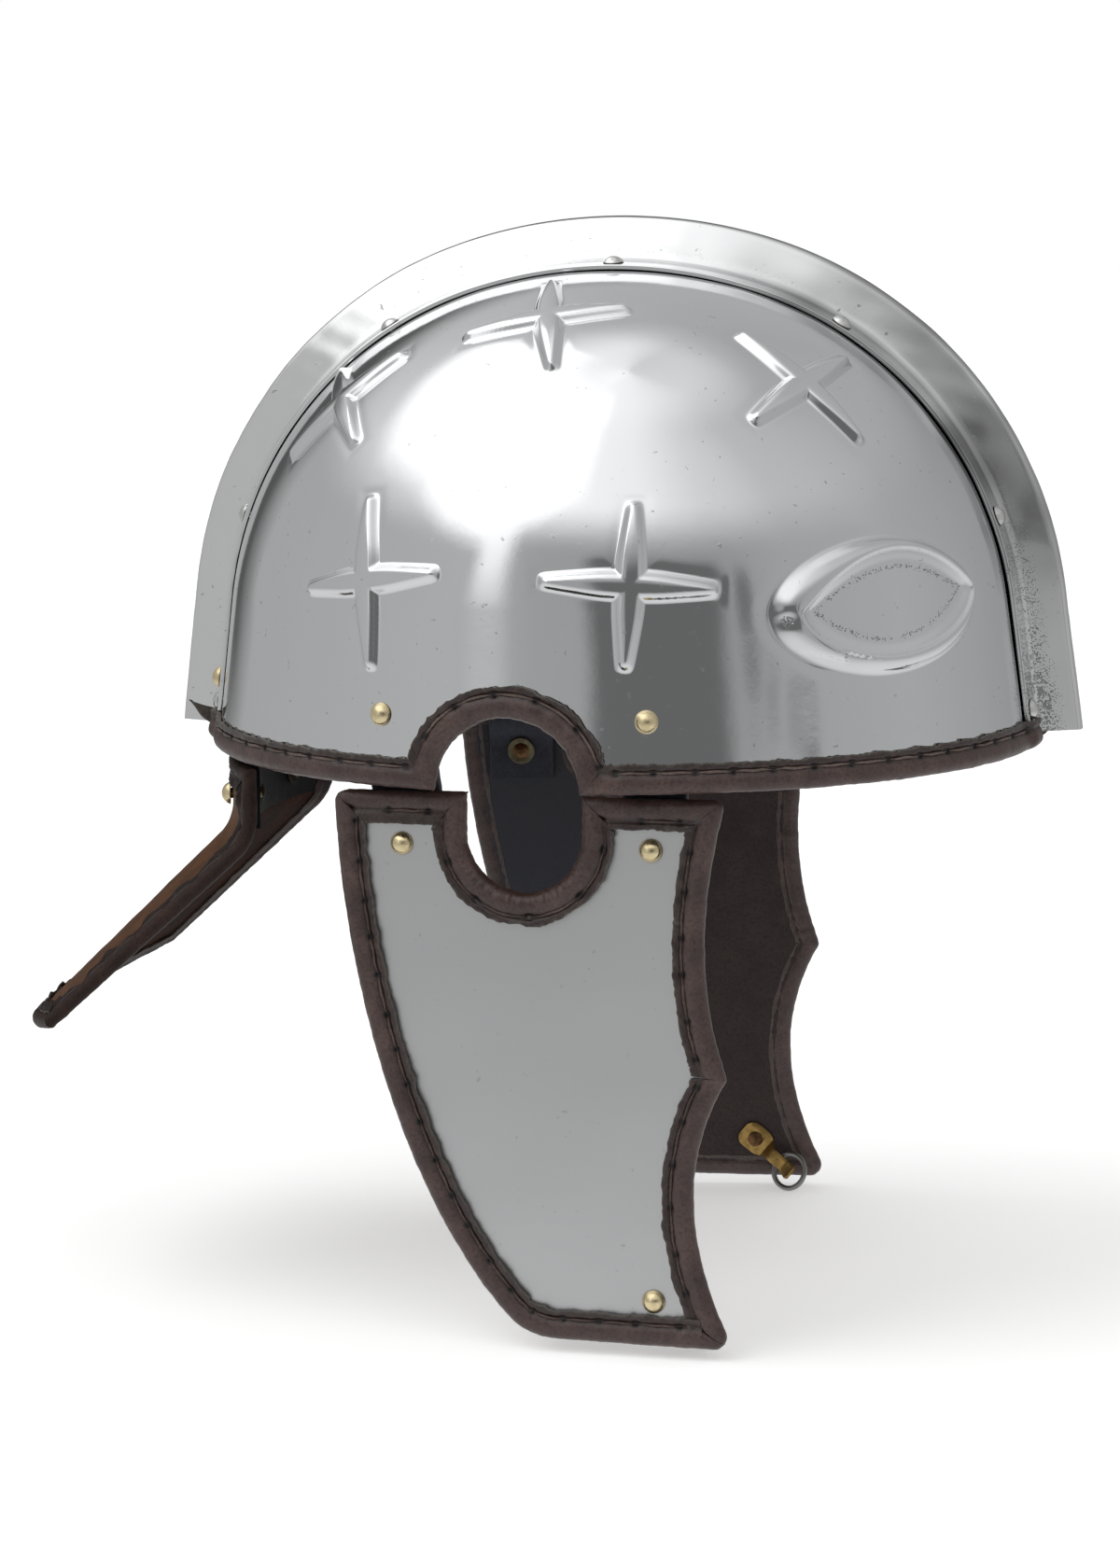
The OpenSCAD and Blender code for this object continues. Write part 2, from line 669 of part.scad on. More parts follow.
module rim_binding() {
    last = len(rim_path) - 1;
    fold([for (k = [0:last])
        let (
            p = rim_mid_point(k),
            n = skull_out(rim_path[k][0], rim_path[k][1]),
            before = rim_inward(k, max(0, k - 1), max(1, k)),
            after = rim_inward(k, min(last - 1, k), min(last, k + 1)),
            b = (before + after) / (1 + before * after)
        )
        [for (q = fold_section(rim_out, rim_slot, rim_path[k][2],
                rim_path[k][2], -rim_fold, -gap, rim_path[k][3])) p + n * q[0] + b * q[1]]
    ], false);
}

// Liner

band_depth = skull_t + gap + skin_gap;
band_cols = 40;
module band_ring(z_low, z_high, depth, thick) {
    rows = [z_low, (z_low + z_high) / 2, z_high];
    rings = [for (k = [0:band_cols - 1]) let (phi = 360 * k / band_cols) concat(
        [for (z = rows) skull_deep(phi, z, depth)],
        [for (j = [2:-1:0]) skull_deep(phi, rows[j], depth + thick)]
    )];
    polyhedron(flat(rings), [for (k = [0:band_cols - 1], i = [0:5], f =
        let (next = (k + 1) % band_cols, up = (i + 1) % 6)
        quad(6 * k + i, 6 * next + i, 6 * next + up, 6 * k + up)
    ) f]);
}

// Overlap of the tongues on the band
tongue_lap = 9;
// Half the gap between neighbouring tongues, in degrees
tongue_gap = 1.6;
tongue_depth = band_depth + liner_t + gap;
// Drop and inset of the tongues' bow below the skull
tongue_bow = 4;
tongue_tip_z = skull_h - tongue_drop;
tongue_steps = 5;
function tongue_point(phi, t, depth) =
    let (
        start = skull_deep(phi, liner_high, tongue_depth),
        bend = skull_deep(phi, tongue_tip_z - tongue_bow, tongue_depth + tongue_bow),
        tip = [tongue_tip_r * cos(phi), -tongue_tip_r * sin(phi), tongue_tip_z],
        along = unit(bow(start, bend, tip, min(1, t + tiny)) - bow(start, bend, tip, t - tiny)),
        aside = [-sin(phi), -cos(phi), 0]
    )
    bow(start, bend, tip, t) + unit(cross(aside, along)) * depth;

module tongue(phi) {
    spread = 180 / tongue_count - tongue_gap;
    function face(depth) = concat(
        [[for (k = [-1:2 / 3:1.01])
            skull_deep(phi + k * spread, liner_high - tongue_lap, tongue_depth + depth)]],
        [for (j = [0:tongue_steps]) [for (k = [-1:2 / 3:1.01])
            tongue_point(phi + k * spread, j / tongue_steps, depth)]]
    );
    sheet(face(0), face(liner_t));
}

// Cheek guards, drawn flat: X forward, Y up from the top edge, Z outward

lining_in = plate_t / 2 + skin_gap + lining_t;
flap_in = lining_in + skin_gap + bind_t;
flap_out = plate_t / 2 + skin_gap + bind_t;
cheek_y = half(side, 0) - cheek_inset;

module cheek_frame() {
    translate([0, -cheek_y, -cheek_drop]) rotate([90 - cheek_lean, 0, -cheek_yaw]) children();
}

cheek_fore = [cos(cheek_yaw), -sin(cheek_yaw), 0];
cheek_down = [-sin(cheek_yaw) * sin(cheek_lean), -cos(cheek_yaw) * sin(cheek_lean),
    -cos(cheek_lean)];
cheek_out = cross(cheek_down, cheek_fore);
function cheek_point(u, v, n) =
    [0, -cheek_y, -cheek_drop] + cheek_fore * u + cheek_down * v + cheek_out * n;

// Bend and corner points of the cheek guard's edge, forward and down
cheek_cusp = [40, cheek_h * 0.505];
front_bow_high = [28.5, cheek_h * 0.29];
front_bow_low = [21.8, cheek_h * 0.722];
cheek_toe = [41.9, cheek_h];
cheek_heel = [-4, cheek_h - 0.5];
heel_bow = [-12, cheek_h - 1];
cheek_hock = [-16.5, cheek_h - 5.6];
rear_bow_high = [-60, cheek_h * 0.325];
rear_bow_low = [-45.5, cheek_h * 0.736];
notch_floor = notch_deep - notch_r;
edge_steps = 12;

function rear_curve(t) =
    let (a = [cheek_rear, 0], b = rear_bow_high, c = rear_bow_low, d = cheek_hock)
    lerp(bow(a, b, c, t), bow(b, c, d, t), t);

// Edge of the leather, clockwise from the rear top corner
cheek_edge = concat(
    [[cheek_rear, 0], [notch_u - notch_r, 0]],
    [for (a = [180:15:360]) [notch_u + notch_r * cos(a), notch_floor - notch_r * sin(a)]],
    [[notch_u + notch_r, 0], [cheek_front, 0]],
    [for (k = [1:edge_steps]) bow([cheek_front, 0], front_bow_high, cheek_cusp, k / edge_steps)],
    [for (k = [1:edge_steps]) bow(cheek_cusp, front_bow_low, cheek_toe, k / edge_steps)],
    [for (k = [0:4]) bow(cheek_heel, heel_bow, cheek_hock, k / 4)],
    [for (k = [edge_steps - 1:-1:1]) rear_curve(k / edge_steps)]
);

// Outline moved inward by a width, as [forward, up]
function inset(edge, w) = [for (k = [0:len(edge) - 1])
    let (
        count = len(edge),
        before = unit(edge[k] - edge[(k + count - 1) % count]),
        after = unit(edge[(k + 1) % count] - edge[k]),
        a = [-before[1], before[0]],
        b = [-after[1], after[0]],
        p = edge[k] + (a + b) * w / (1 + a * b)
    )
    [p[0], -p[1]]];

module cheek_sheet(w, low, high) {
    translate([0, 0, low]) linear_extrude(high - low) polygon(inset(cheek_edge, w));
}

cheek_low_v = cheek_h - cheek_rivet_foot;
// Forward place of the lowest rivet
cheek_low_u = 21.2;
cheek_upper = [[cheek_rivet_rear, cheek_rivet_v], [cheek_rivet_front, cheek_rivet_v]];
cheek_rivet_places = concat(cheek_upper, [[cheek_low_u, cheek_low_v]]);

module cheek_holes() {
    for (p = cheek_rivet_places) {
        translate([p[0], -p[1], -2 * through]) cylinder(d = shank_d + hole_gap, h = 4 * through);
    }
}

module cheek_plate() {
    cheek_frame() difference() {
        cheek_sheet(plate_inset, -plate_t / 2, plate_t / 2);
        cheek_holes();
    }
}

module cheek_lining() {
    cheek_frame() difference() {
        cheek_sheet(bind_t + gap, -lining_in, -plate_t / 2 - skin_gap);
        cheek_holes();
    }
}

module cheek_binding() {
    cheek_frame() difference() {
        cheek_sheet(0, -flap_in, flap_out);
        cheek_sheet(bind_t, -lining_in - skin_gap, plate_t / 2 + skin_gap);
        cheek_sheet(hem_out, plate_t / 2, flap_out + through);
        cheek_sheet(hem_in, -flap_in - through, -lining_in);
    }
}

// Level of a strap's outer face over the inner flap, and on the lining beyond it
strap_high = flap_in + gap;
strap_low = lining_in + gap;

module cheek_rivets() {
    cheek_frame() {
        for (p = cheek_upper) {
            translate([p[0], -p[1], plate_t / 2])
                rivet(brass_head_d, brass_head_h,
                    plate_t / 2 + strap_low + strap_t + washer_t + gap, tail_h);
        }
        translate([cheek_low_u, -cheek_low_v, plate_t / 2])
            rivet(brass_head_d, brass_head_h, plate_t / 2 + lining_in + gap + hook_t, tail_h);
    }
}

module cheek_washers() {
    cheek_frame() for (p = cheek_upper) {
        translate([p[0], -p[1], -strap_low - strap_t - skin_gap - washer_t]) washer();
    }
}

// Cheek straps

// Allowance for the skull's bulge across a flat strap
function bulge(w) = w ^ 2 / (8 * side_shoulder_r);
// Depths of a strap's outer face behind the skull's outer face, on the skull and at the rim
function strap_end_depth(w) = skull_t + gap + bulge(w);
function strap_rim_depth(w) = skull_t + bind_t + 2 * gap + bulge(w);
strap_end_z = skull_rivet_z + strap_over;
// Height down to which the strap lies on the skull, just below the washer
strap_lie_z = skull_rivet_z - washer_d / 2 - 3 * gap;
// Height at which the strap has left the skull for the rim binding
strap_leave_z = strap_lie_z - 3;

// Stations of a strap as [point on its outer face, outward, across]
function strap_on_skull(x, z, depth) =
    let (phi = phi_of(x, z), n = skull_out(phi, z))
    [skull_deep(phi, z, depth), n, unit(cross([0, 0, 1], n))];
function strap_on_cheek(u, v, n) = [cheek_point(u, v, -n), cheek_out, cheek_fore];
function strap_between(a, b, t) =
    [lerp(a[0], b[0], t), unit(lerp(a[1], b[1], t)), unit(lerp(a[2], b[2], t))];

// Place just above the cheek guard's top edge at which the strap reaches it
strap_meet_v = -0.4;
// Length over which the strap comes down from the inner flap to the lining
strap_step = 2.4;

function strap_stations(x, u, w) =
    let (
        last = strap_on_skull(x, strap_leave_z, strap_rim_depth(w)),
        first = strap_on_cheek(u, strap_meet_v, strap_high)
    )
    [
        strap_on_skull(x, strap_end_z, strap_end_depth(w)),
        strap_on_skull(x, strap_lie_z, strap_end_depth(w)),
        last,
        for (k = [1:3]) strap_between(last, first, k / 4),
        first,
        strap_on_cheek(u, hem_in + gap, strap_high),
        strap_on_cheek(u, hem_in + gap + strap_step, strap_low),
        strap_on_cheek(u, cheek_rivet_v + strap_over, strap_low)
    ];

module strap(x, u, w) {
    stations = strap_stations(x, u, w);
    function face(depth) = [for (k = [len(stations) - 1:-1:0]) let (s = stations[k])
        [for (e = [0.5, -0.5]) s[0] - s[1] * depth + s[2] * w * e]];
    difference() {
        sheet(face(0), face(strap_t));
        strap_rivet_place(x, w) translate([0, 0, -4 * through])
            cylinder(d = shank_d + hole_gap, h = 8 * through);
        cheek_frame() translate([u, -cheek_rivet_v, -4 * through])
            cylinder(d = shank_d + hole_gap, h = 8 * through);
    }
}

// The straps' rivets in the skull

skull_rivets = [[skull_rivet_rear, rear_strap_w], [skull_rivet_front, front_strap_w]];

module strap_rivet_place(x, w) {
    phi = phi_of(x, skull_rivet_z);
    place(skull_point(phi, skull_rivet_z), skull_out(phi, skull_rivet_z)) children();
}

module skull_rivet_holes() {
    for (r = skull_rivets) {
        strap_rivet_place(r[0], r[1]) translate([0, 0, -through])
            cylinder(d = shank_d + hole_gap, h = 2 * through);
    }
}

// Depth of the washers' outer face behind the skull's outer face
function strap_washer_depth(w) = strap_end_depth(w) + strap_t + gap;

module strap_rivets() {
    for (r = skull_rivets) {
        strap_rivet_place(r[0], r[1])
            rivet(brass_head_d, brass_head_h, strap_washer_depth(r[1]) + washer_t + skin_gap, tail_h);
    }
}

module strap_rivet_washers() {
    for (r = skull_rivets) {
        strap_rivet_place(r[0], r[1]) translate([0, 0, -strap_washer_depth(r[1]) - washer_t])
            washer();
    }
}

// Tie hook and ring, from the lowest rivet: X along the hook, Z outward

hook_back = 4.6;
hook_corner = 1.8;
hook_lie = lining_in + gap;
// Clearance of the ring's wire between neck and leather
ring_gap = 0.45;
hook_raise = flap_in + ring_wire_d + 2 * ring_gap;
hook_ramp = 2;
hook_neck_l = 4.6;
hook_lip = 2.6;
hook_lip_rise = 3.4;
hook_fore = hook_l - hook_back - hook_ramp - hook_neck_l + hook_lip;

module hook_frame() {
    cheek_frame() translate([cheek_low_u, -cheek_low_v, 0]) rotate([0, 0, -hook_turn]) children();
}

module tie_hook() {
    x1 = hook_fore;
    x2 = x1 + hook_ramp;
    x3 = x2 + hook_neck_l;
    x4 = x3 + hook_lip;
    low = [[-hook_back, hook_lie], [x1, hook_lie], [x2, hook_raise], [x3, hook_raise],
        [x4, hook_raise + hook_lip_rise]];
    high = [[x4 - hook_t, hook_raise + hook_lip_rise + hook_t * 0.4], [x3 - hook_t / 2, hook_raise + hook_t],
        [x2 - hook_t / 2, hook_raise + hook_t], [x1 - hook_t / 2, hook_lie + hook_t],
        [-hook_back, hook_lie + hook_t]];
    half_w = hook_w / 2;
    half_neck = hook_neck_w / 2;
    flank = [[-hook_back + hook_corner, half_w], [x1 - hook_ramp, half_w],
        [x1, (half_w + half_neck) / 2], [x2, half_neck],
        [x3, half_neck], [x4 + 1, half_neck + 0.6]];
    color(brass) hook_frame() difference() {
        intersection() {
            rotate([90, 0, 0]) translate([0, 0, -hook_w]) linear_extrude(2 * hook_w)
                polygon([for (p = concat(low, high)) [p[0], -p[1]]]);
            translate([0, 0, -4 * through]) linear_extrude(4 * through)
                polygon(concat([[-hook_back, half_w - hook_corner]], flank,
                    [for (k = [len(flank) - 1:-1:0]) [flank[k][0], -flank[k][1]]],
                    [[-hook_back, -half_w + hook_corner]]));
        }
        translate([0, 0, -2 * through]) cylinder(d = shank_d + hole_gap, h = 4 * through);
    }
}

// Lean of the hanging ring along the hook, and its turning line
ring_lean = 58;
ring_x = hook_fore + hook_ramp + hook_neck_l / 2 - 0.1;
ring_z = flap_in + ring_gap + ring_wire_d / 2;
ring_r = (ring_in_d + ring_wire_d) / 2;

module tie_ring() {
    color(dark_steel) hook_frame() translate([ring_x, 0, -ring_z]) rotate([0, 180 - ring_lean, 0])
        translate([0, 0, ring_r]) rotate([0, 90, 0]) rotate_extrude()
            translate([ring_r, 0]) circle(d = ring_wire_d);
}

// Neck guard

neck_x = half(long, 0) - neck_inset;
neck_spread = asin(neck_half_w / neck_r);
hem_spread = asin(neck_hem_half_w / neck_hem_r);
neck_l = neck_upright + neck_flare;
hem_x = neck_x + neck_flare * cos(neck_slope);
hem_z = -neck_drop - neck_upright - neck_flare * sin(neck_slope);

// Middle surface: place across from -1 to 1, and distance down from the top edge
function neck_top(s, z) = [
    -neck_x + neck_r * (1 - cos(s * neck_spread)), neck_r * sin(s * neck_spread), z];
function neck_hem_point(s) = [
    -hem_x + neck_hem_r * (1 - cos(s * hem_spread)),
    neck_hem_r * sin(s * hem_spread),
    hem_z + neck_corner_rise * s * s];
function neck_mid(s, d) =
    let (
        a = neck_top(s, -neck_drop),
        b = neck_top(s, -neck_drop - neck_upright),
        c = neck_hem_point(s),
        up = neck_upright - neck_bend
    )
    d <= up ? lerp(a, b, d / neck_upright)
    : d >= neck_upright + neck_bend ? lerp(b, c, (d - neck_upright) / neck_flare)
    : bow(lerp(a, b, up / neck_upright), b, lerp(b, c, neck_bend / neck_flare),
        (d - up) / (2 * neck_bend));
function neck_down(s, d) = unit(neck_mid(s, d + tiny) - neck_mid(s, d - tiny));
function neck_across(s, d) = unit(neck_mid(s + tiny, d) - neck_mid(s - tiny, d));
function neck_out(s, d) = unit(cross(neck_across(s, d), neck_down(s, d)));

// Distance of the neck guard's sheets from its bound edge
neck_edge = neck_bind_t + 2 * gap;
neck_cols = 12;
neck_rows = concat(
    [neck_edge, (neck_upright - neck_bend + neck_edge) / 2],
    [for (k = [0:4]) neck_upright + neck_bend * (k / 2 - 1)],
    [for (k = [1:3]) lerp(neck_upright + neck_bend, neck_l, k / 4)],
    [neck_l - neck_edge]
);

module neck_sheet(low, high) {
    side_in = 1 - neck_edge / neck_half_w;
    function face(n) = [for (d = neck_rows) [for (k = [0:neck_cols])
        let (s = side_in * (2 * k / neck_cols - 1))
        neck_mid(s, d) + neck_out(s, d) * n]];
    difference() {
        sheet(face(high), face(low));
        neck_rivet_places() translate([0, 0, -3 * through])
            cylinder(d = shank_d + hole_gap, h = 6 * through);
    }
}

module neck_rivet_places() {
    for (y = [-neck_rivet_y, neck_rivet_y]) {
        s = asin(y / neck_r) / neck_spread;
        place(neck_mid(s, neck_rivet_v), neck_out(s, neck_rivet_v)) children();
    }
}

neck_face = plate_t / 2 + skin_gap + neck_skin_t;
neck_bind_out = neck_face + skin_gap + neck_bind_t;

// Edge stations as [across, down, inward directions before and after]
neck_top_steps = neck_cols;
neck_side_rows = concat([0, (neck_hem + neck_upright - neck_bend) / 2],
    [for (k = [0:4]) neck_upright + neck_bend * (k / 2 - 1)],
    [for (k = [1:4]) lerp(neck_upright + neck_bend, neck_l, k / 4)]);
neck_path = concat(
    [for (k = [0:neck_top_steps]) [2 * k / neck_top_steps - 1, 0,
        k == 0 ? -1 : 0, k == neck_top_steps ? 1 : 0]],
    [for (k = [1:len(neck_side_rows) - 2]) [1, neck_side_rows[k], 1, 1]],
    [for (k = [neck_top_steps:-1:0]) [2 * k / neck_top_steps - 1, neck_l,
        k == neck_top_steps ? 1 : 2, k == 0 ? -1 : 2]],
    [for (k = [len(neck_side_rows) - 2:-1:1]) [-1, neck_side_rows[k], -1, -1]]
);
// Inward direction on an edge: 0 top, 1 left side, 2 hem, -1 right side
function neck_inward(s, d, edge) =
    edge == 0 ? neck_down(s, d)
    : edge == 2 ? -neck_down(s, d)
    : edge == 1 ? unit(cross(neck_out(s, d), neck_down(s, d)))
    : -unit(cross(neck_out(s, d), neck_down(s, d)));

// Place on the middle surface at a width inward from an edge station
function neck_flap_place(p, w) = [
    abs(p[2]) == 1 || abs(p[3]) == 1 ? p[0] * (1 - w / abs(neck_mid(1, p[1]).y)) : p[0],
    p[2] == 0 || p[3] == 0 ? p[1] + w : p[2] == 2 || p[3] == 2 ? p[1] - w : p[1]
];

module neck_binding() {
    color(leather) fold([for (p = neck_path)
        let (
            n = neck_out(p[0], p[1]),
            before = neck_inward(p[0], p[1], p[2]),
            after = neck_inward(p[0], p[1], p[3]),
            b = (before + after) / (1 + before * after),
            f = neck_flap_place(p, neck_hem)
        )
        [for (q = fold_section(neck_bind_out, neck_face + skin_gap, neck_hem, neck_hem, 0,
                neck_bind_t, 0))
            q[1] == neck_hem ? neck_mid(f[0], f[1]) + neck_out(f[0], f[1]) * q[0]
            : neck_mid(p[0], p[1]) + n * q[0] + b * q[1]]
    ], true);
}

// Neck strap, from inside the skull down to the neck guard's upright part
neck_strap_top_z = neck_top_rivet_z + strap_over;
neck_strap_low_z = -neck_drop - neck_rivet_v - strap_over + gap;
neck_strap_flap = neck_bind_out + gap;
function behind_skull(z, depth) = [-(half(long, z) - depth), z];
neck_strap_line = [
    behind_skull(neck_strap_top_z, skull_t + 2 * gap),
    behind_skull(neck_top_rivet_z - washer_d / 2 - 5 * gap, skull_t + 2 * gap),
    behind_skull(rim_flap_ridge + gap, skull_t + bind_t + 3 * gap),
    behind_skull(-rim_fold / 2, skull_t + bind_t + 3 * gap),
    [-neck_x + neck_strap_flap, -neck_drop - gap],
    [-neck_x + neck_strap_flap, neck_strap_low_z]
];
neck_strap_cols = 10;
// Place of a face of the strap across from the middle, bent like the neck guard
function neck_strap_x(x, depth, y) =
    let (r = neck_r - (x + neck_x) - depth) x + depth + r - sqrt(r ^ 2 - y ^ 2);

module neck_strap() {
    function face(depth) = [for (k = [len(neck_strap_line) - 1:-1:0]) let (p = neck_strap_line[k])
        [for (i = [0:neck_strap_cols])
            let (y = neck_strap_w * (0.5 - i / neck_strap_cols))
            [neck_strap_x(p[0], depth, y), y, p[1]]]];
    color(navy) difference() {
        sheet(face(0), face(strap_t));
        neck_rivet_places() translate([0, 0, -3 * through])
            cylinder(d = shank_d + hole_gap, h = 6 * through);
        neck_top_places() translate([0, 0, -3 * through])
            cylinder(d = shank_d + hole_gap, h = 6 * through);
    }
}

// Rise of a flat washer off the bent strap
washer_bow = washer_d ^ 2 / (8 * (neck_r - strap_t));

module neck_rivets() {
    color(brass) neck_rivet_places() translate([0, 0, neck_face])
        rivet(brass_head_d, brass_head_h,
            neck_face + neck_strap_flap + strap_t + washer_t + washer_bow + gap, tail_h);
}

module neck_washers() {
    color(brass) neck_rivet_places()
        translate([0, 0, -neck_strap_flap - strap_t - washer_t - washer_bow - skin_gap]) washer();
}

module neck_top_places() {
    p = behind(on_leg(neck_top_rivet_z));
    for (left = [0, 1]) mirror([0, left, 0]) place(ridge_seat(p), ridge_out(p[2])) children();
}

// Depth from a flange's face to a washer on the strap's inner face
neck_top_grip = washer_bow + cos(ridge_tilt) * cos(long_lean)
    * (neck_strap_x(behind_skull(neck_top_rivet_z, skull_t + 2 * gap)[0], strap_t, ridge_rivet_y)
        + ridge_seat(on_leg(neck_top_rivet_z))[0]);

module neck_strap_rivets() {
    color(brass) neck_top_places()
        rivet(brass_head_d, brass_head_h, neck_top_grip + washer_t + gap, tail_h);
}

module neck_strap_washers() {
    color(brass) neck_top_places() translate([0, 0, -neck_top_grip - washer_t - skin_gap]) washer();
}

// Pieces that come in pairs

module skull_right() {
    color(steel) difference() {
        union() {
            skull_half();
            for (s = stars) star(s[0], s[1] * skull_h, s[2]);
            eye();
        }
        ridge_holes(2 * through);
        skull_rivet_holes();
    }
}
module ridge() {
    color(steel) difference() {
        ridge_shell();
        for (left = [0, 1]) mirror([0, left, 0]) ridge_holes(through);
    }
}
module liner_band() {
    color(tan_leather) band_ring(liner_low, liner_high, band_depth, liner_t);
}
module liner_tongues() {
    color(tan_leather) for (k = [0:tongue_count - 1]) tongue(360 * (k + 0.5) / tongue_count);
}
module liner_lace() {
    color(leather) translate([0, 0, tongue_tip_z - liner_t / 2]) rotate_extrude()
        translate([tongue_tip_r - lace_d / 2 - 3 * gap, 0]) circle(d = lace_d);
}
module neck_plate() {
    color(satin) neck_sheet(-plate_t / 2, plate_t / 2);
}
module neck_cover() {
    color(tan_leather) neck_sheet(plate_t / 2 + skin_gap, neck_face);
}
module neck_lining() {
    color(navy) neck_sheet(-neck_face, -plate_t / 2 - skin_gap);
}

module ridge_rivets_right() color(steel) ridge_rivets();
module rim_binding_right() color(leather) rim_binding();
module strap_rivets_right() color(brass) strap_rivets();
module strap_rivet_washers_right() color(brass) strap_rivet_washers();
module cheek_plate_right() color(satin) cheek_plate();
module cheek_lining_right() color(navy) cheek_lining();
module cheek_binding_right() color(leather) cheek_binding();
module cheek_rivets_right() color(brass) cheek_rivets();
module cheek_washers_right() color(brass) cheek_washers();
module strap_rear_right() color(navy) strap(skull_rivet_rear, cheek_rivet_rear, rear_strap_w);
module strap_front_right() color(navy) strap(skull_rivet_front, cheek_rivet_front, front_strap_w);
module tie_hook_right() tie_hook();
module tie_ring_right() tie_ring();

module skull_left() mirror([0, 1, 0]) skull_right();
module ridge_rivets_left() mirror([0, 1, 0]) ridge_rivets_right();
module rim_binding_left() mirror([0, 1, 0]) rim_binding_right();
module strap_rivets_left() mirror([0, 1, 0]) strap_rivets_right();
module strap_rivet_washers_left() mirror([0, 1, 0]) strap_rivet_washers_right();
module cheek_plate_left() mirror([0, 1, 0]) cheek_plate_right();
module cheek_lining_left() mirror([0, 1, 0]) cheek_lining_right();
module cheek_binding_left() mirror([0, 1, 0]) cheek_binding_right();
module cheek_rivets_left() mirror([0, 1, 0]) cheek_rivets_right();
module cheek_washers_left() mirror([0, 1, 0]) cheek_washers_right();
module strap_rear_left() mirror([0, 1, 0]) strap_rear_right();
module strap_front_left() mirror([0, 1, 0]) strap_front_right();
module tie_hook_left() mirror([0, 1, 0]) tie_hook_right();
module tie_ring_left() mirror([0, 1, 0]) tie_ring_right();

skull_right();
skull_left();
ridge();
ridge_rivets_right();
ridge_rivets_left();
rim_binding_right();
rim_binding_left();
liner_band();
liner_tongues();
liner_lace();
strap_rivets_right();
strap_rivets_left();
strap_rivet_washers_right();
strap_rivet_washers_left();
neck_strap_rivets();
neck_strap_washers();
cheek_plate_right();
cheek_lining_right();
cheek_binding_right();
cheek_rivets_right();
cheek_washers_right();
strap_rear_right();
strap_front_right();
tie_hook_right();
tie_ring_right();
cheek_plate_left();
cheek_lining_left();
cheek_binding_left();
cheek_rivets_left();
cheek_washers_left();
strap_rear_left();
strap_front_left();
tie_hook_left();
tie_ring_left();
neck_plate();
neck_cover();
neck_lining();
neck_binding();
neck_strap();
neck_rivets();
neck_washers();
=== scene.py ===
import math
from types import SimpleNamespace

import bpy
import numpy as np
from mathutils import Matrix, Vector
from mathutils.geometry import delaunay_2d_cdt


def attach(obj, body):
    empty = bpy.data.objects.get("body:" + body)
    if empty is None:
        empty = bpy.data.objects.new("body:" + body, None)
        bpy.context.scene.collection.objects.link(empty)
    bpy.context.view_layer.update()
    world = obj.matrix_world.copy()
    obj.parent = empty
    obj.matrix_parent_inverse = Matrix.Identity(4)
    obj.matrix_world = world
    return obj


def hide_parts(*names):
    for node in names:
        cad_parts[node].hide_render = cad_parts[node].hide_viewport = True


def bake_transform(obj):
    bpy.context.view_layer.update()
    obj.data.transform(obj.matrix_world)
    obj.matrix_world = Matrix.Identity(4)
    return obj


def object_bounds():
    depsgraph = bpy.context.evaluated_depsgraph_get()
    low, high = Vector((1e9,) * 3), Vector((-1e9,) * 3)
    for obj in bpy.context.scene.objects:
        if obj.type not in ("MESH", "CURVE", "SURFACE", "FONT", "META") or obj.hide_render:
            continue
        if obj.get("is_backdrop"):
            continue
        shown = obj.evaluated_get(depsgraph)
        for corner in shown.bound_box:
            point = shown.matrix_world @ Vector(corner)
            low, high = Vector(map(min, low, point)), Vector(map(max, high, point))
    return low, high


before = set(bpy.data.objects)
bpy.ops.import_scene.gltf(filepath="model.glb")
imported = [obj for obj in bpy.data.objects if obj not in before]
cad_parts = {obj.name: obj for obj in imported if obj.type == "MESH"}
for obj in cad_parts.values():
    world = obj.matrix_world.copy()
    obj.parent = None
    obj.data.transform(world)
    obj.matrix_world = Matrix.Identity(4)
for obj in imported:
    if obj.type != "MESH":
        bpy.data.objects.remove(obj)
cad_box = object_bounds()

# Lengths are in millimetres until a mesh is made. X points to the face, Y to the wearer's
# left, Z up. Angles round the skull run from the face over the wearer's right side.
MM = 0.001
SKULL_H = 121.3
SKULL_T = 1.2
GAP = 0.2
SIDES = (("right", 1), ("left", -1))


# Meshes

def grid_faces(rows, cols, wrap_rows=False, wrap_cols=False):
    j = np.arange(rows if wrap_rows else rows - 1)[:, None]
    i = np.arange(cols if wrap_cols else cols - 1)[None, :]
    up, on = (j + 1) % rows, (i + 1) % cols
    return np.stack([j * cols + i, j * cols + on, up * cols + on, up * cols + i], -1).reshape(-1, 4)


